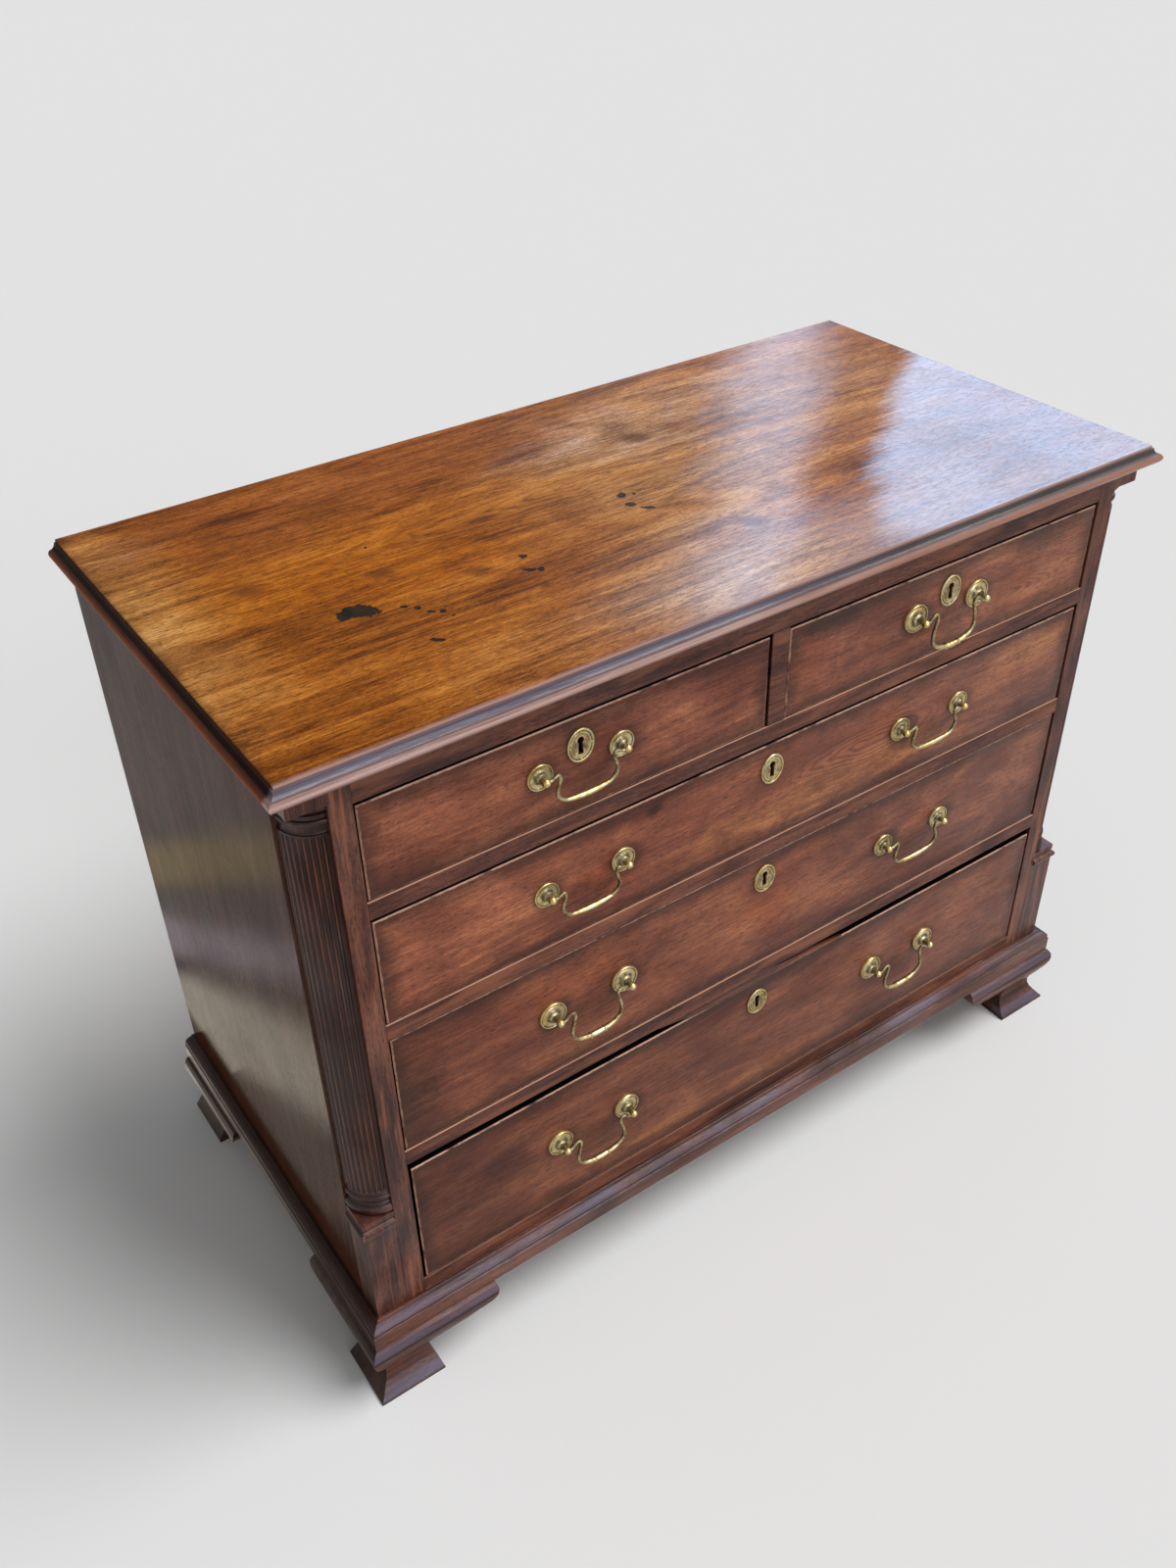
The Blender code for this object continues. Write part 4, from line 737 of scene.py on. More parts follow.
def front_finish(wood, brass, key, seed):
    """Figured drawer front, worn at its edges and dark round its brasses, with painted shade on its faces
    that lie back in the gaps; its posts are brass.
    """
    finish = Finish(f"drawer_front_{key}_mahogany")
    tones = (wood.front_dark, wood.front_mid, wood.front_light)
    colour, height = wood_tone(finish, tones, X, seed, 0.05, 0.40, 0.44)
    if key in FRONT_ARCHES:
        (x, z), (wide, tall), strength = FRONT_ARCHES[key]
        colour = arched_figure(finish, colour, wood.front_light, wood.front_dark, (x, 0, z), (wide, 1, tall),
                               seed + 6, strength)
    low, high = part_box(f"drawer_{key}_front")
    rightward = finish.step(finish.along[X], low.x, high.x)
    # Lighter or darker from end to end, with the right end tinted greyer as a painted sheen
    left, right = FRONT_SHADES[key]
    shade = finish.blend((left,) * 3, (right, right * 1.04, right * 1.08), rightward)
    colour = finish.blend(colour, shade, 1.0, "MULTIPLY")
    knot = finish.noise((9, 11, 15), seed + 3, 4, 0.62, 0.9)
    mottle = finish.noise((24, 24, 38), seed + 19, 4, 0.66, 0.8)
    for (x, z), (wide, tall), tone, strength in FRONT_PATCHES[key]:
        spot = finish.scaled(mottle, 1.3, spot_reach(finish, (x, 0, z), (wide, 1, tall)))
        share = finish.times(finish.step(spot, 1.85, 0.90), min(1.0, strength * 1.45))
        tint = [patch / plain for patch, plain in zip(getattr(wood, tone), wood.front_mid)]
        colour = finish.blend(colour, tint, share, "MULTIPLY")
    colour = finish.stain(colour, wood.front_dark, finish.step(mottle, 0.54, 0.74), 0.40)
    colour = finish.stain(colour, wood.front_dark, finish.step(knot, 0.52, 0.70), 0.62)
    colour = dim_round_brasses(finish, colour, wood, key, brass.centres / 2, finish.times(knot, 0.9))
    edges = edge_reach(finish, ((X, low.x, high.x), (Z, low.z, high.z)))
    colour = wear_edges(finish, colour, edges, wood, seed)
    # Painted shade: the faces that lie back in the gaps round the drawer are laid near black
    inside = finish.step(finish.along[Y], FACE_PLANE + 0.001, FACE_PLANE + 0.002)
    colour = finish.blend(colour, wood.painted_deep_shade, inside)
    behind = finish.step(finish.along[Y], FACE_PLANE + FRONT_DEPTH, FACE_PLANE + FRONT_DEPTH + 0.0015)
    bare, _ = wood_tone(finish, case_tones(wood), X, seed + 3)
    colour = finish.blend(colour, bare, behind)
    proud = finish.math("LESS_THAN", finish.along[Y], FACE_PLANE - PLATE_SEAT)
    colour = finish.blend(colour, brass.dull, proud)
    finish.feed(finish.shader.inputs["Metallic"], proud)
    open_face = finish.math("SUBTRACT", 1.0, inside)
    sheen = finish.scaled(finish.step(finish.along[X], -0.30, 0.50), 0.30, 0.10)
    return wax(finish, colour, height, wood, seed, coat=finish.times(sheen, open_face))


def dim_round_brasses(finish, colour, wood, key, half, ragged):
    """Dirt that polishing left round the roses and the escutcheon, and below each bail.

    Half is half the distance between a handle's posts.
    """
    spots = []
    for joint in frame["joints"]:
        if joint["type"] == "hinge" and joint["parent"] == f"drawer_{key}":
            x, _, z = joint["pos_m"]
            spots += [((x + side * half + 0.004, 0, z - 0.003), *ROSE_HALO) for side in (-1, 1)]
            spots.append(((x, 0, z - 0.020), *BAIL_HALO))
    middle = sum(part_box(f"escutcheon_{key}"), Vector()) / 2
    spots.append(((middle.x, 0, middle.z), *PLATE_HALO))
    for centre, size, strength in spots:
        dim = finish.step(finish.math("ADD", spot_reach(finish, centre, size), ragged), 1.45, 0.85)
        colour = finish.stain(colour, wood.grime_and_painted_shade, dim, strength)
    return colour


def rail_finish(wood, name, seed, arrises):
    """Mahogany front edge with lines along its arrises at the given heights: pale, for worn wood and a
    painted highlight, or (below 0) black painted shade; painted shade behind its face, and softwood behind
    that.
    """
    finish = Finish(f"{name}_mahogany")
    colour, height = wood_tone(finish, case_tones(wood), X, seed, 0.08, 0.22, 0.40)
    patch = finish.noise((9, 30, 60), seed + 4, 4, 0.6, 0.4)
    near = finish.math("SUBTRACT", finish.along[Y], CASE_PLANE)
    face = finish.step(near, 0.0012, 0.0003)
    bare = finish.times(finish.times(face, finish.step(patch, 0.46, 0.68)), 0.40)
    colour = finish.blend(colour, wood.front_light, bare)
    # Painted shade on the faces behind the rail's front, where it lies back in the gaps
    inside = finish.times(finish.step(near, 0.0012, 0.003), 0.9)
    colour = finish.blend(colour, wood.painted_deep_shade, inside)
    chips = finish.noise((45, 160, 160), seed + 8, 3, 0.6, 0.0)
    # Lines along the arrises: pale ones are worn wood with a painted highlight, black ones are painted shade
    # in the gap under the rail
    for level, strength in arrises:
        off = finish.away(finish.along[Z], level)
        off = finish.scaled(chips, 0.0012, off)
        line = finish.times(finish.step(off, 0.0014, 0.0008), finish.step(near, 0.0020, 0.0012))
        tone = wood.worn if strength > 0 else wood.painted_deep_shade
        colour = finish.stain(colour, tone, line, abs(strength))
    softwood, _ = wood_tone(finish, lining_tones(wood), X, seed + 3)
    behind = finish.step(finish.along[Y], RAIL_BACK - 0.001, RAIL_BACK)
    colour = finish.blend(colour, softwood, behind)
    return wax(finish, colour, height, wood, seed)


def upright_finish(wood, name, seed, axis, bare, coat, slopes=(), shade=1.0):
    """Dark case mahogany with rubbed streaks, for posts, plinths, mouldings and feet.

    Slopes are the (low, high) levels given a painted bluish sheen on the front, each with a line of painted
    shade just under it; shade is painted shade that darkens the outer side.
    """
    finish = Finish(f"{name}_mahogany")
    colour, height = wood_tone(finish, case_tones(wood), axis, seed, 0.10, 0.30, 0.44)
    patch = finish.noise(grain_scale(axis, 6, 120), seed + 4, 4, 0.62, 0.2)
    colour = finish.stain(colour, wood.front_light, finish.step(patch, 0.50, 0.72), bare)
    dirt = finish.noise(grain_scale(axis, 5, 40), seed + 6, 4, 0.6, 0.3)
    colour = finish.stain(colour, wood.grime_and_painted_shade, finish.step(dirt, 0.50, 0.72), 0.35)
    across = finish.math("ABSOLUTE", finish.along[X])
    outer = finish.step(across, CASE_HALF - 0.0005, CASE_HALF + 0.0010)
    front = finish.step(finish.along[Y], CASE_PLANE + 0.0005, CASE_PLANE - 0.0010)
    mitre = finish.math("GREATER_THAN", finish.math("SUBTRACT", across, CASE_HALF),
                        finish.math("SUBTRACT", CASE_PLANE, finish.along[Y]))
    outer = finish.times(outer, mitre)
    # Painted shade: the outer side made darker
    colour = finish.blend(colour, (shade, shade * 1.05, shade * 0.85), outer, "MULTIPLY")
    front = finish.times(front, finish.math("SUBTRACT", 1.0, mitre))
    broken = finish.times(front, finish.step(dirt, 0.62, 0.40))
    # A painted bluish sheen on each slope, and a line of painted shade under it
    for low, high in slopes:
        off = finish.away(finish.along[Z], (low + high) / 2)
        slope = finish.step(off, (high - low) * 0.62, (high - low) * 0.34)
        colour = finish.stain(colour, wood.painted_cold_sheen, finish.times(slope, broken), 0.70)
        rim = finish.away(finish.along[Z], low - 0.0016)
        colour = finish.stain(colour, wood.grime_and_painted_shade, finish.step(rim, 0.0022, 0.0008), 0.6)
    return wax(finish, colour, height, wood, seed, 0.00014, coat=coat)


def side_finish(wood, name, seed):
    """Upright board, evenly waxed, with a darker foot above the moulding."""
    finish = Finish(f"{name}_mahogany")
    tones = (wood.side_dark, wood.side_mid, wood.side_light)
    colour, height = wood_tone(finish, tones, Z, seed, 0.06, 0.26, 0.40)
    low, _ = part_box(name)
    drift = finish.noise((5, 5, 9), seed + 2, 4, 0.6, 0.6)
    foot = finish.step(finish.scaled(drift, 0.05, finish.along[Z]), low.z + 0.125, low.z + 0.080)
    colour = finish.stain(colour, wood.rust, foot, 0.70)
    shine = finish.scaled(foot, -0.21, 0.26)
    return wax(finish, colour, height, wood, seed, 0.00004, polish=0.42, coat=shine, gloss=0.0, even=0.8,
               film=0.09)


def lining_finish(wood, name, axis, seed):
    """Bare oak or softwood, dry and a little dusty."""
    finish = Finish(f"{name}_lining")
    colour, height = wood_tone(finish, lining_tones(wood), axis, seed, 0.08, 0.20, 0.30)
    stain = finish.noise((7, 7, 7), seed + 21, 4, 0.6, 0.5)
    colour = finish.stain(colour, wood.lining_dark, finish.step(stain, 0.5, 0.75), 0.7)
    return wax(finish, colour, height, wood, seed, 0.00016, polish=0.68, coat=0.0)


def brass_finish(brass, name, base, roughness):
    """Old brass: bright where hands rub it, golden patches, and dark dirt where its hollows are marked."""
    finish = Finish(name)
    marks = finish.tree.nodes.new("ShaderNodeAttribute")
    marks.attribute_name = HOLLOW
    patch = finish.noise((140, 140, 140), 3, 4, 0.6, 0.5)
    fine = finish.noise((700, 700, 700), 5, 3, 0.6, 0.0)
    colour = finish.blend(base, brass.golden, finish.step(patch, 0.40, 0.62))
    colour = finish.stain(colour, brass.dull, finish.step(fine, 0.52, 0.74), 0.50)
    dirt = finish.scaled(patch, 0.9, finish.math("SUBTRACT", marks.outputs["Fac"], 0.45))
    dirt = finish.scaled(fine, 0.5, finish.math("SUBTRACT", dirt, 0.25))
    dirt = finish.step(dirt, 0.20, 0.85)
    colour = finish.stain(colour, brass.dirt, dirt, 0.95)
    finish.feed(finish.shader.inputs["Base Color"], colour)
    finish.feed(finish.shader.inputs["Metallic"], finish.scaled(dirt, -0.45, 1.0))
    rough = finish.scaled(patch, 0.25, roughness - 0.12)
    finish.feed(finish.shader.inputs["Roughness"], finish.scaled(dirt, 0.22, rough))
    finish.relief(finish.scaled(patch, 1.5, fine), 0.00006)
    return finish.material


def dress_node(node, material):
    mesh = frame["nodes"][node].data
    mesh.materials.clear()
    mesh.materials.append(material)


class CHEST_OT_finish_wood(bpy.types.Operator):
    """Gives each board of the case and drawers its own waxed or bare wood"""

    bl_idname = "chest.finish_wood"
    bl_label = "Finish Wood"

    def execute(self, context):
        wood = context.scene.chest_wood
        brass = context.scene.chest_brass
        dress_node("top_board", top_finish(wood))
        dress_node("back_boards", lining_finish(wood, "back_boards", Z, SEEDS["back"]))
        for number, name in enumerate(RAILS):
            # Each rail has a pale line of worn wood and painted highlight where the drawer over it stands,
            # and a black line of painted shade in the gap over the drawer below
            arrises = []
            if number < len(DRAWERS_ON_RAILS):
                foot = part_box(f"drawer_{DRAWERS_ON_RAILS[number]}_front")[0].z
                arrises.append((foot - FRONT_SEAT, 0.85 if number else 0.25))
            if number > 0:
                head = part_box(f"drawer_{DRAWERS_ON_RAILS[number - 1]}_front")[1].z
                arrises.append((head + RAIL_GAPS[number - 1], -0.95))
            dress_node(name, rail_finish(wood, name, SEEDS["rails"] + number, arrises))
        name = "base_moulding_front"
        dress_node(name, upright_finish(wood, name, SEEDS["base"], X, 0.35, 0.55, BASE_SLOPES))
        for number, hand in enumerate(("left", "right")):
            name = f"side_{hand}"
            dress_node(name, side_finish(wood, name, SEEDS["sides"] + number))
            for part, axis, *look in UPRIGHTS:
                name = f"{part}_{hand}"
                seed = SEEDS["uprights"] + number + axis
                dress_node(name, upright_finish(wood, name, seed, axis, *look))
        for number, key in enumerate(DRAWERS):
            dress_node(f"drawer_{key}_front", front_finish(wood, brass, key, SEEDS["fronts"] + 1.7 * number))
            for part, axis in (("side_left", Y), ("side_right", Y), ("back", X), ("bottom", X)):
                name = f"drawer_{key}_{part}"
                dress_node(name, lining_finish(wood, name, axis, SEEDS["linings"] + number + axis))
        return {"FINISHED"}


# Modelling


def clear_selection():
    if bpy.context.mode != "OBJECT":
        bpy.ops.object.mode_set(mode="OBJECT")
    bpy.ops.object.select_all(action="DESELECT")


def take_up(name):
    """Names the piece that was just added and opens it for editing, with all of it selected."""
    piece = bpy.context.active_object
    piece.name = name
    piece.data.name = name
    bpy.ops.object.mode_set(mode="EDIT")
    bpy.ops.mesh.select_all(action="SELECT")
    return piece


def put_down(piece, angle=35):
    """Closes a piece: faces outward, smooth, and its place kept in its mesh."""
    bpy.ops.mesh.select_all(action="SELECT")
    bpy.ops.mesh.normals_make_consistent(inside=False)
    bpy.ops.object.mode_set(mode="OBJECT")
    bpy.ops.object.transform_apply(location=True, rotation=True, scale=True)
    bpy.ops.object.shade_smooth_by_angle(angle=math.radians(angle))
    return piece


def finish_piece(piece, body, slot, material, *replaced):
    piece.data.materials.clear()
    piece.data.materials.append(material)
    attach(piece, body)
    if replaced:
        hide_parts(*replaced)


def copy_piece(piece, name, shift):
    """A copy with its own mesh, moved into place."""
    clear_selection()
    piece.select_set(True)
    bpy.context.view_layer.objects.active = piece
    bpy.ops.object.duplicate_move(TRANSFORM_OT_translate={"value": tuple(shift)})
    copy = bpy.context.active_object
    copy.parent = None
    copy.name = name
    copy.data.name = name
    bpy.ops.object.transform_apply(location=True, rotation=True, scale=True)
    return copy


def make_or_copy(made, kind, name, place, make):
    """The first piece of a kind is made, and the others are copies of it moved into place."""
    if kind in made:
        first, start = made[kind]
        return copy_piece(first, name, place - start)
    made[kind] = (make(), place)
    return made[kind][0]


def cut_with(piece, cutter):
    """Cuts a piece with another and takes the cutter away."""
    clear_selection()
    piece.select_set(True)
    bpy.context.view_layer.objects.active = piece
    bpy.ops.object.modifier_add(type="BOOLEAN")
    cut = piece.modifiers[-1]
    cut.operation = "DIFFERENCE"
    cut.solver = "EXACT"
    cut.object = cutter
    bpy.ops.object.modifier_apply(modifier=cut.name)
    bpy.data.objects.remove(cutter)


def turn_piece(name, place, outline, sides, upright=False):
    """Draws a disc out along -Y or up, ring by ring, through (radius, height) points."""
    clear_selection()
    radius, height = outline[0]
    way = Vector((0, 0, 1)) if upright else Vector((0, -1, 0))
    bpy.ops.mesh.primitive_circle_add(vertices=sides, radius=radius, fill_type="NGON",
                                      location=place + way * height,
                                      rotation=(0 if upright else math.pi / 2, 0, 0))
    piece = take_up(name)
    for (wide, near), (narrow, far) in zip(outline, outline[1:]):
        bpy.ops.mesh.extrude_region_move(TRANSFORM_OT_translate={"value": way * (far - near)})
        bpy.ops.transform.resize(value=(narrow / wide,) * 3)
    return put_down(piece)


def ring_angle(place, centre):
    return math.degrees(math.atan2(place.x - centre.x, place.y - centre.y))


def cut_flutes(piece, centre, ends):
    """Sinks the flutes' points towards the column's axis, shallower at the rounded ends."""
    low, high = ends
    for off in FLUTE_LANES:
        for inset in (*FLUTE_END_INSETS, None):
            sunk = 1.0 if inset is None else math.sqrt(1 - (1 - inset / FLUTE_HALF_WIDTH) ** 2)
            reach = math.radians(off) * COLUMN_RADIUS / (FLUTE_HALF_WIDTH * sunk)
            if reach >= 1:
                continue
            depth = FLUTE_DEPTH * sunk * math.sqrt(1 - reach * reach)
            rims = (low + FLUTE_HALF_WIDTH, high - FLUTE_HALF_WIDTH)
            if inset is not None:
                rims = (low + inset, high - inset)

            def on_lane(place):
                turn = ring_angle(place, centre) % FLUTE_PITCH - FLUTE_PITCH / 2
                return abs(abs(turn) - off) < 0.3 and min(abs(place.z - rim) for rim in rims) < 0.0001

            select_where(piece, on_lane)
            share = 1 - depth / COLUMN_RADIUS
            bpy.ops.transform.resize(value=(share, share, 1), center_override=(centre.x, centre.y, low))


def column_outline(foot, head):
    """(radius, height) of the whole column, with rings at the flutes' rounded ends."""
    low = foot + FLUTE_FOOT
    high = head - FLUTE_HEAD
    insets = (0.0, *FLUTE_END_INSETS, FLUTE_HALF_WIDTH)
    shaft = [(COLUMN_RADIUS, low + inset) for inset in insets]
    shaft += [(COLUMN_RADIUS, high - inset) for inset in reversed(insets)]
    base = [(radius, foot + height) for radius, height in COLUMN_BASE]
    capital = [(radius, head - depth) for radius, depth in COLUMN_CAPITAL]
    return base + shaft + capital, (low, high)


def column_finish(wood, name, seed, centre, ends):
    """Dark mahogany, with dirt and painted shade in the flutes and in the rings' hollows, and a rub on the
    fillets between the flutes that is also a painted highlight.
    """
    finish = Finish(f"{name}_mahogany")
    colour, height = wood_tone(finish, case_tones(wood), Z, seed)
    turn = finish.math("ARCTAN2", finish.math("SUBTRACT", finish.along[X], centre.x),
                       finish.math("SUBTRACT", finish.along[Y], centre.y))
    lane = finish.math("FRACT", finish.math("ADD", finish.times(turn, 180 / math.pi / FLUTE_PITCH), 90))
    middle = finish.away(lane, 0.5)
    shaft = finish.times(finish.step(finish.along[Z], ends[0], ends[0] + 0.002),
                         finish.step(finish.along[Z], ends[1], ends[1] - 0.002))
    patch = finish.noise((60, 60, 9), seed + 4, 4, 0.6, 0.3)
    # A rub on the fillets between the flutes, and with it a painted highlight
    rub = finish.times(finish.step(middle, 0.34, 0.42), finish.step(patch, 0.40, 0.62))
    colour = finish.blend(colour, (0.62, 0.60, 0.62), 1.0, "MULTIPLY")
    colour = finish.stain(colour, wood.front_mid, finish.times(rub, shaft), 0.5)
    # Dirt and painted shade in the flutes
    dirt = finish.times(finish.step(middle, 0.37, 0.22), shaft)
    colour = finish.stain(colour, wood.grime_and_painted_shade, dirt, 0.80)
    # Dirt and painted shade in the rings' hollows
    for level in COLUMN_HOLLOWS:
        rim = ends[0] - FLUTE_FOOT + level if level > 0 else ends[1] + FLUTE_HEAD + level
        hollow = finish.step(finish.away(finish.along[Z], rim), 0.0026, 0.0008)
        colour = finish.stain(colour, wood.grime_and_painted_shade, hollow, 0.75)
    return wax(finish, colour, height, wood, seed, coat=0.45)


class CHEST_OT_turn_columns(bpy.types.Operator):
    """Turns the fluted quarter columns at the corners, with their bases and capitals"""

    bl_idname = "chest.turn_columns"
    bl_label = "Turn Columns"

    def execute(self, context):
        wood = context.scene.chest_wood
        for number, (hand, side) in enumerate((("left", -1), ("right", 1))):
            name = f"column_{hand}"
            low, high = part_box(name)
            centre = Vector((low.x if side > 0 else high.x, high.y, 0))
            outline, ends = column_outline(low.z, high.z)
            column = turn_piece(f"{name}_fluted", centre, outline, COLUMN_SIDES, upright=True)
            bpy.ops.object.mode_set(mode="EDIT")
            bpy.ops.mesh.select_all(action="DESELECT")
            cut_flutes(column, centre, ends)
            for way in ((side, 0, 0), (0, -1, 0)):
                bpy.ops.mesh.select_all(action="SELECT")
                bpy.ops.mesh.bisect(plane_co=centre, plane_no=way, use_fill=True, clear_inner=True)
            put_down(column)
            material = column_finish(wood, name, SEEDS["columns"] + number, centre, ends)
            finish_piece(column, "case", "mahogany", material, name)
        return {"FINISHED"}


def mark_hollows(piece, dirt_at):
    """Stores how much dirt lies at each point of a brass piece."""
    marks = piece.data.attributes.new(HOLLOW, "FLOAT", "POINT")
    for vert, mark in zip(piece.data.vertices, marks.data):
        mark.value = dirt_at(vert.co)


def between(value, stops):
    """Runs straight from stop to stop of a list of (value, result)."""
    for (low, first), (high, last) in zip(stops, stops[1:]):
        if value <= high:
            share = max(0.0, (value - low) / (high - low))
            return first + (last - first) * share
    return stops[-1][1]


def handle_kind(bail):
    return KINDS["ringed" if bail in RINGED_HANDLES else "plain"]


def hinge_of(bail):
    """The line that a bail turns on, from the frame's joints."""
    found = [joint for joint in frame["joints"] if joint["child"] == bail]
    return Vector(found[0]["pos_m"]), found[0]["parent"]


def bails():
    return sorted(joint["child"] for joint in frame["joints"] if joint["type"] == "hinge")


def post_outline(kind, eye_height):
    """A rose and stem with a ball round the eye."""
    outline = [(share * kind["rose"], up * eye_height) for share, up in kind["post"]]
    ball = kind["ball"]
    for number in range(BALL_RINGS):
        turn = math.radians(BALL_START + BALL_TURN * number / BALL_RINGS)
        outline.append((ball * math.sin(turn), eye_height - ball * math.cos(turn)))
    outline.append((ball * 0.05, eye_height + ball))
    return outline


def turn_post(name, centre, kind, eye_height, brass):
    """One rose and post, with the bail's eye through its ball and dirt in its hollows."""
    post = turn_piece(name, centre, post_outline(kind, eye_height), brass.sides)
    clear_selection()
    bpy.ops.mesh.primitive_cylinder_add(vertices=24, radius=brass.eye, depth=4 * kind["ball"],
                                        location=centre - Vector((0, eye_height, 0)),
                                        rotation=(0, math.pi / 2, 0))
    cut_with(post, bpy.context.active_object)

    def dirt_at(place):
        out = (centre.y - place.y) / eye_height
        wide = math.hypot(place.x - centre.x, place.z - centre.z) / kind["rose"]
        if out < ROSE_SHARE:
            return between(wide, ROSE_DIRT)
        return between(out, POST_DIRT)

    mark_hollows(post, dirt_at)
    return post


class CHEST_OT_turn_posts(bpy.types.Operator):
    """Turns the roses and posts of the handles, with an eye through each ball"""

    bl_idname = "chest.turn_posts"
    bl_label = "Turn Posts"

    def execute(self, context):
        brass = context.scene.chest_brass
        metal = brass_finish(brass, "post_brass", brass.bright, 0.36)
        made = {}
        for bail in bails():
            kind = handle_kind(bail)
            pivot, drawer = hinge_of(bail)
            for side, hand in ((-1, "left"), (1, "right")):
                centre = Vector((pivot.x + side * brass.centres / 2, FACE_PLANE, pivot.z))
                name = f"post_{bail[5:]}_{hand}"
                post = make_or_copy(made, kind["rose"], name, centre,
                                    lambda: turn_post(name, centre, kind, FACE_PLANE - pivot.y, brass))
                finish_piece(post, drawer, "brass", metal)
        return {"FINISHED"}


def bend_bail(name, pivot, kind, brass):
    """One bail swept along its curve, dark in the arms and rubbed bright at the grip."""
    half = kind["bail"]
    run = [(-across, up, thick) for across, up, thick in reversed(half[1:])] + list(half)
    clear_selection()
    bpy.ops.curve.primitive_bezier_curve_add()
    curve = bpy.context.active_object
    curve.location = pivot
    bend = curve.data
    bend.bevel_depth = brass.bar
    bend.bevel_resolution = 8
    bend.resolution_u = 8
    bend.use_fill_caps = True
    spline = bend.splines[0]
    spline.bezier_points.add(len(run) - len(spline.bezier_points))
    for point, (across, up, thick) in zip(spline.bezier_points, run):
        point.co = (across * brass.centres / 2, 0, up * kind["drop"])
        point.radius = thick
    bpy.ops.object.mode_set(mode="EDIT")
    bpy.ops.curve.select_all(action="SELECT")
    bpy.ops.curve.handle_type_set(type="AUTOMATIC")
    bpy.ops.object.mode_set(mode="OBJECT")
    bpy.ops.object.convert(target="MESH")
    piece = take_up(name)
    bpy.ops.mesh.remove_doubles(threshold=0.00001)
    put_down(piece, 60)

    def dirt_at(place):
        out = abs(place.x - pivot.x) / (brass.centres / 2)
        behind = (place.y - pivot.y) / brass.bar
        return between(out, BAIL_DIRT) + between(behind, BAR_DIRT)

    mark_hollows(piece, dirt_at)
    return piece


class CHEST_OT_bend_bails(bpy.types.Operator):
    """Bends the swan-neck bails, each swelling to its grip"""

    bl_idname = "chest.bend_bails"
    bl_label = "Bend Bails"

    def execute(self, context):
        brass = context.scene.chest_brass
        metal = brass_finish(brass, "bail_brass", brass.bright, 0.32)
        made = {}
        for bail in bails():
            kind = handle_kind(bail)
            pivot, _ = hinge_of(bail)
            name = f"{bail}_brass"
            piece = make_or_copy(made, kind["rose"], name, pivot,
                                 lambda: bend_bail(name, pivot, kind, brass))
            finish_piece(piece, bail, "brass", metal, bail)
        return {"FINISHED"}


def cut_keyhole(plate, centre, depth):
    """The round and the slot of a keyhole."""
    clear_selection()
    bpy.ops.mesh.primitive_cylinder_add(vertices=32, radius=KEYHOLE_ROUND, depth=depth,
                                        location=centre + Vector((0, 0, KEYHOLE_RISE)),
                                        rotation=(math.pi / 2, 0, 0))
    cut_with(plate, bpy.context.active_object)
    clear_selection()
    wide, tall = KEYHOLE_SLOT
    bpy.ops.mesh.primitive_cube_add(size=1, location=centre - Vector((0, 0, KEYHOLE_DROP)),
                                    scale=(wide, depth, tall))
    slot = take_up("keyhole_slot")
    select_where(slot, lambda place: place.z < centre.z - KEYHOLE_DROP)
    bpy.ops.transform.resize(value=(KEYHOLE_FLARE, 1, 1))
    bpy.ops.object.mode_set(mode="OBJECT")
    cut_with(plate, slot)


def select_where(piece, test):
    """Selects the points whose place in the frame passes a test."""
    mesh = bmesh.from_edit_mesh(piece.data)
    for vert in mesh.verts:
        vert.select = test(piece.matrix_world @ vert.co)
    mesh.select_flush_mode()
    bmesh.update_edit_mesh(piece.data)


def cast_plate(name, low, high):
    """One oval plate with a raised rim, a bead inside it and a keyhole."""
    back = Vector(((low.x + high.x) / 2, high.y, (low.z + high.z) / 2))
    thick = high.y - low.y
    half_width = (high.x - low.x) / 2
    tall = (high.z - low.z) / (high.x - low.x)
    outline = [(share * half_width, up * thick) for share, up in PLATE_RINGS]
    plate = turn_piece(name, back, outline, PLATE_SIDES)
    bpy.ops.object.mode_set(mode="EDIT")
    bpy.ops.mesh.select_all(action="SELECT")
    bpy.ops.transform.resize(value=(1, 1, tall), center_override=back)
    bpy.ops.object.mode_set(mode="OBJECT")
    cut_keyhole(plate, back, 4 * thick)

    def dirt_at(place):
        wide = math.hypot(place.x - back.x, (place.z - back.z) / tall) / half_width
        return between(wide, PLATE_DIRT)

    mark_hollows(plate, dirt_at)
    return plate


def pin_places(low, high):
    """Where the four pins of an escutcheon stand."""
    middle = Vector(((low.x + high.x) / 2, high.y, (low.z + high.z) / 2))
    reach = Vector(((high.x - low.x) / 2, 0, (high.z - low.z) / 2)) * PIN_REACH
    return [middle + Vector((reach.x * math.sin(turn), 0, reach.z * math.cos(turn)))
            for turn in (math.radians(90 * number) for number in range(4))]


def turn_pin(name, place, brass, top, thick):
    """A pin's domed head, dirty where it meets the plate."""
    pin = turn_piece(name, place, [(share * brass.pin, up * thick) for share, up in PIN_RINGS], PIN_SIDES)
    mark_hollows(pin, lambda point: between(point.y - top, PIN_DIRT))
    return pin


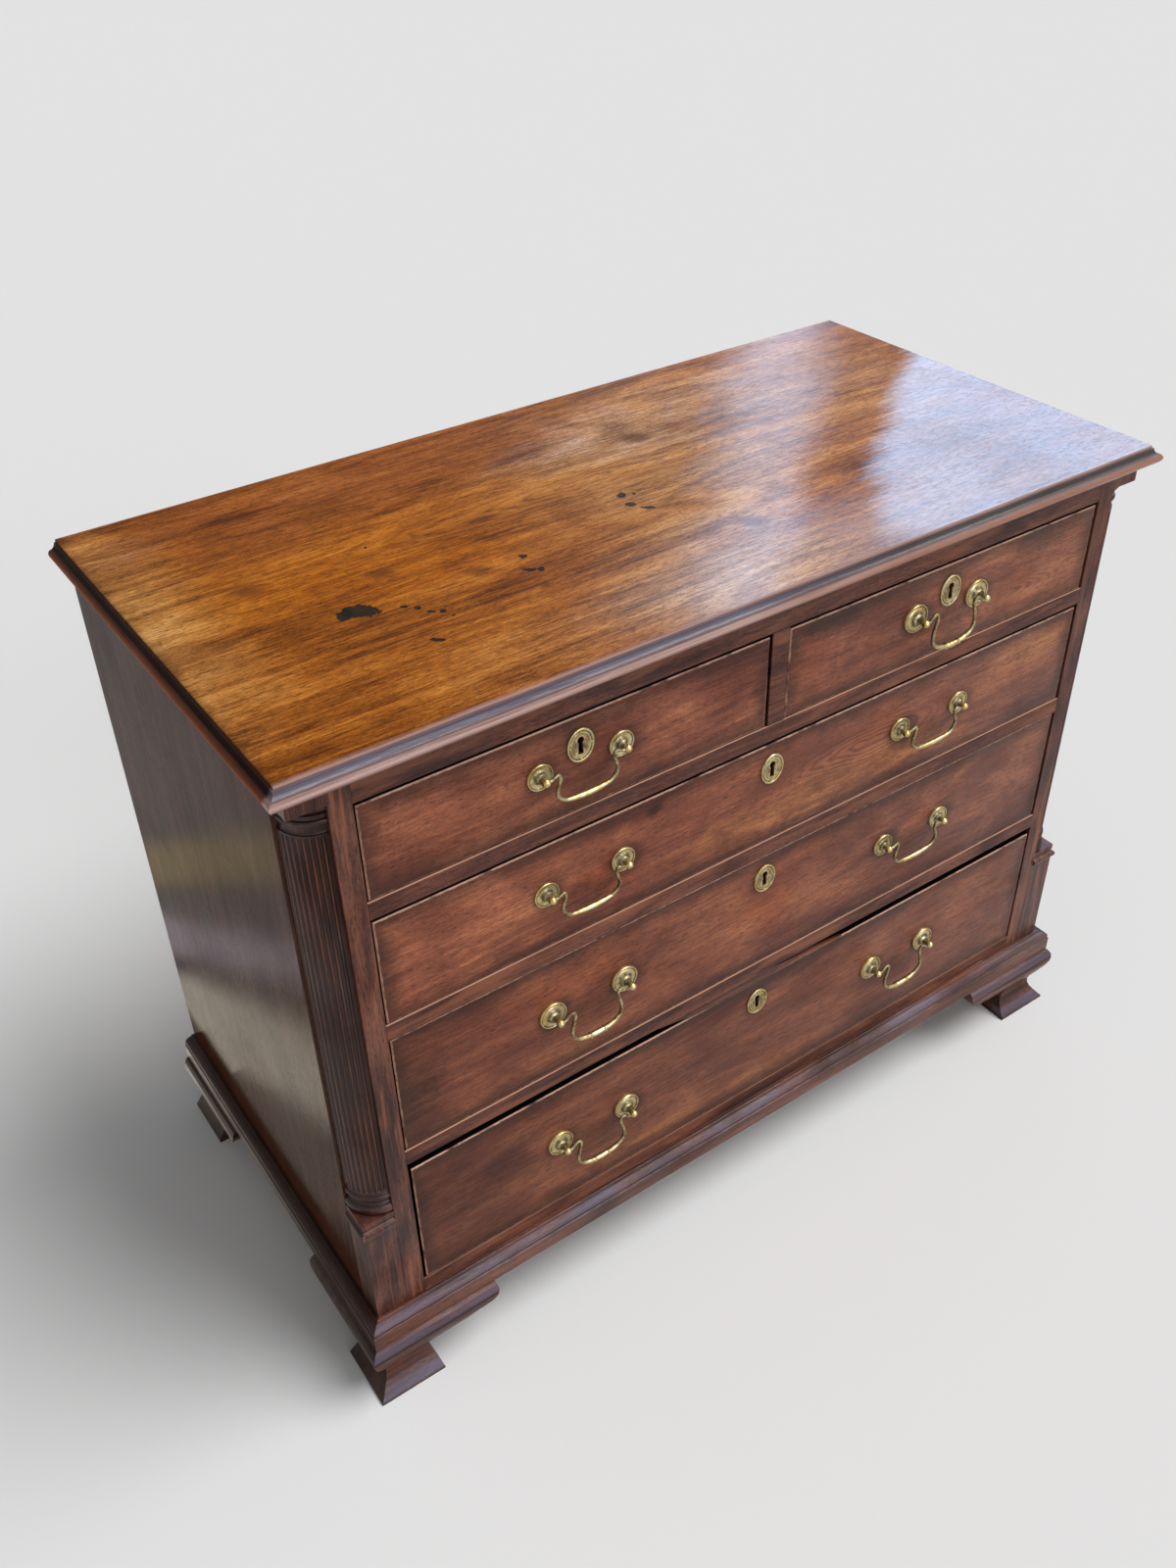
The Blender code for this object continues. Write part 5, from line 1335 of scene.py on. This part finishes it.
class CHEST_OT_cast_escutcheons(bpy.types.Operator):
    """Casts the oval escutcheons with a raised rim, a keyhole and four pins"""

    bl_idname = "chest.cast_escutcheons"
    bl_label = "Cast Escutcheons"

    def execute(self, context):
        brass = context.scene.chest_brass
        metal = brass_finish(brass, "escutcheon_brass", brass.bright, 0.36)
        made = {}
        for key in DRAWERS:
            low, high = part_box(f"escutcheon_{key}")
            name = f"escutcheon_{key}_plate"
            plate = make_or_copy(made, "plate", name, low, lambda: cast_plate(name, low, high))
            finish_piece(plate, f"drawer_{key}", "brass", metal, f"escutcheon_{key}")
            for number, place in enumerate(pin_places(low, high)):
                name = f"escutcheon_{key}_pin_{number + 1}"
                pin = make_or_copy(made, "pin", name, place,
                                   lambda: turn_pin(name, place, brass, low.y, high.y - low.y))
                finish_piece(pin, f"drawer_{key}", "brass", metal)
        return {"FINISHED"}


class CHEST_OT_split_lip(bpy.types.Operator):
    """Splits the lower lip of the rail over the lower drawer, so that it sags into the gap"""

    bl_idname = "chest.split_lip"
    bl_label = "Split Lip"

    def execute(self, context):
        wood = context.scene.chest_wood
        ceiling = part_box("drawer_rail_lower")[0].z
        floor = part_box("drawer_lower_front")[1].z
        first, last = SPLIT_LIP[0][0], SPLIT_LIP[-1][0]
        middle = ((first + last) / 2, CASE_PLANE - LIP_FRONT + LIP_THICKNESS / 2, (ceiling + floor) / 2)
        clear_selection()
        bpy.ops.mesh.primitive_cube_add(size=1, location=middle,
                                        scale=(last - first, LIP_THICKNESS, ceiling - floor))
        lip = take_up("rail_split_lip")
        for x, _, _ in SPLIT_LIP[1:-1]:
            bpy.ops.mesh.select_all(action="SELECT")
            bpy.ops.mesh.bisect(plane_co=(x, 0, ceiling), plane_no=(1, 0, 0))
        for x, upper, lower in SPLIT_LIP:
            for level, share in ((floor, lower), (ceiling, upper - 1)):
                select_where(lip, lambda place: abs(place.x - x) < SAME and abs(place.z - level) < SAME)
                bpy.ops.transform.translate(value=(0, 0, share * (ceiling - floor)))
        put_down(lip)
        bpy.ops.object.modifier_add(type="BEVEL")
        rounding = lip.modifiers[-1]
        rounding.width = LIP_ROUNDING
        rounding.segments = 2
        bpy.ops.object.modifier_apply(modifier=rounding.name)
        material = upright_finish(wood, "rail_split_lip", SEEDS["lip"], X, 0.45, 0.25)
        finish_piece(lip, "case", "mahogany", material)
        return {"FINISHED"}


# Studio


def studio_floor(stage):
    clear_selection()
    bpy.ops.mesh.primitive_plane_add(size=FLOOR_SIZE, location=(0, 0, 0))
    floor = bpy.context.active_object
    floor.name = "studio_floor"
    paper = Finish("studio_paper")
    # Painted light: the floor is paler in front of the chest
    pool = paper.step(spot_reach(paper, *FLOOR_LIGHT_POOL), 1.0, 0.2)
    paper.feed(paper.shader.inputs["Base Color"], paper.blend(stage.floor, stage.pool, pool))
    paper.shader.inputs["Roughness"].default_value = 0.9
    paper.shader.inputs["Specular IOR Level"].default_value = 0.0
    floor.data.materials.append(paper.material)


def studio_world(stage):
    """Plain air that lights the chest, shown to the camera and to gloss as the pale backdrop."""
    world = bpy.data.worlds.new("studio_air")
    bpy.context.scene.world = world
    world.use_nodes = True
    tree = world.node_tree
    tree.nodes.clear()
    output = tree.nodes.new("ShaderNodeOutputWorld")
    light = tree.nodes.new("ShaderNodeBackground")
    light.inputs["Color"].default_value = (1.0, 1.0, 1.0, 1.0)
    light.inputs["Strength"].default_value = stage.air
    seen = tree.nodes.new("ShaderNodeBackground")
    seen.inputs["Color"].default_value = (*stage.backdrop, 1.0)
    paths = tree.nodes.new("ShaderNodeLightPath")
    shown = paths.outputs["Is Camera Ray"]
    for kind in ("Is Glossy Ray", "Is Transmission Ray"):
        either = tree.nodes.new("ShaderNodeMath")
        either.operation = "MAXIMUM"
        tree.links.new(shown, either.inputs[0])
        tree.links.new(paths.outputs[kind], either.inputs[1])
        shown = either.outputs[0]
    mix = tree.nodes.new("ShaderNodeMixShader")
    for source, socket in zip((shown, light.outputs[0], seen.outputs[0]), mix.inputs):
        tree.links.new(source, socket)
    tree.links.new(mix.outputs[0], output.inputs[0])


def studio_lamp(name, kind, place, target, **settings):
    lamp = bpy.data.lights.new(name, kind)
    for key, value in settings.items():
        setattr(lamp, key, value)
    holder = bpy.data.objects.new(name, lamp)
    holder.location = place
    holder.rotation_euler = (Vector(target) - Vector(place)).to_track_quat("-Z", "Y").to_euler()
    bpy.context.scene.collection.objects.link(holder)
    return holder


def studio_screen(name, place, target, size, tone, power):
    """A lamp that shows in polished surfaces only."""
    screen = studio_lamp(name, "AREA", place, target, energy=power, shape="RECTANGLE", size=size[0],
                         size_y=size[1], color=tone)
    screen.visible_camera = False
    screen.visible_diffuse = False
    screen.visible_transmission = False
    return screen


def studio_camera(stage):
    turn, dip, roll = stage.camera_turn, stage.camera_dip, stage.camera_roll
    ahead = Vector((math.sin(turn) * math.cos(dip), math.cos(turn) * math.cos(dip), -math.sin(dip)))
    right = Vector((math.cos(turn), -math.sin(turn), 0))
    up = right.cross(ahead)
    leaning = right * math.cos(roll) + up * math.sin(roll)
    upright = up * math.cos(roll) - right * math.sin(roll)
    lens = bpy.data.cameras.new("studio_camera")
    lens.sensor_fit = "VERTICAL"
    lens.sensor_height = FRAME_HEIGHT
    lens.lens = stage.camera_lens
    camera = bpy.data.objects.new("studio_camera", lens)
    camera.matrix_world = Matrix.Translation(Vector(stage.camera_place)) @ Matrix(
        (leaning, upright, -ahead)).transposed().to_4x4()
    bpy.context.scene.collection.objects.link(camera)
    bpy.context.scene.camera = camera


class CHEST_OT_set_stage(bpy.types.Operator):
    """Lays the pale floor and sets the soft lamps and the camera"""

    bl_idname = "chest.set_stage"
    bl_label = "Set Stage"

    def execute(self, context):
        stage = context.scene.chest_stage
        studio_floor(stage)
        studio_world(stage)
        for name, place, setting, spread in SUNS:
            studio_lamp(name, "SUN", place, (0, 0, 0), energy=getattr(stage, setting),
                        angle=math.radians(spread))
        for name, place, size, share in SCREENS:
            studio_screen(name, place, SCREEN_TARGET, size, SCREEN_COLOUR, stage.sheen * share)
        for name, (x, y), (long, wide), turn, tone, level in SIDE_SCREENS:
            screen = studio_screen(name, (x, y, SCREEN_LIFT), (x, y, 1), (long, wide), tone,
                                   level * math.pi * long * wide)
            screen.rotation_euler = (math.pi, 0, math.radians(turn))
        studio_camera(stage)
        context.scene.view_settings.view_transform = "Standard"
        return {"FINISHED"}


class CHEST_PT_workshop(bpy.types.Panel):
    """Workshop for the chest of drawers"""

    bl_idname = "CHEST_PT_workshop"
    bl_label = "Chest of Drawers"
    bl_space_type = "VIEW_3D"
    bl_region_type = "UI"
    bl_category = "Chest"

    def draw(self, context):
        scene = context.scene
        for settings in (scene.chest_wood, scene.chest_brass, scene.chest_stage):
            box = self.layout.box()
            for name in settings.bl_rna.properties.keys():
                if name not in ("name", "rna_type"):
                    box.prop(settings, name)
        for operator in OPERATORS:
            self.layout.operator(operator.bl_idname)


OPERATORS = (
    CHEST_OT_finish_wood,
    CHEST_OT_turn_columns,
    CHEST_OT_turn_posts,
    CHEST_OT_bend_bails,
    CHEST_OT_cast_escutcheons,
    CHEST_OT_split_lip,
    CHEST_OT_set_stage,
)
CLASSES = (ChestWood, ChestBrass, ChestStage, *OPERATORS, CHEST_PT_workshop)


def register():
    for kind in CLASSES:
        bpy.utils.register_class(kind)
    bpy.types.Scene.chest_wood = PointerProperty(type=ChestWood)
    bpy.types.Scene.chest_brass = PointerProperty(type=ChestBrass)
    bpy.types.Scene.chest_stage = PointerProperty(type=ChestStage)


def unregister():
    del bpy.types.Scene.chest_stage
    del bpy.types.Scene.chest_brass
    del bpy.types.Scene.chest_wood
    for kind in reversed(CLASSES):
        bpy.utils.unregister_class(kind)


def main():
    register()
    bpy.ops.chest.finish_wood()
    bpy.ops.chest.turn_columns()
    bpy.ops.chest.turn_posts()
    bpy.ops.chest.bend_bails()
    bpy.ops.chest.cast_escutcheons()
    bpy.ops.chest.split_lip()
    bpy.ops.chest.set_stage()


if __name__ == "__main__":
    main()
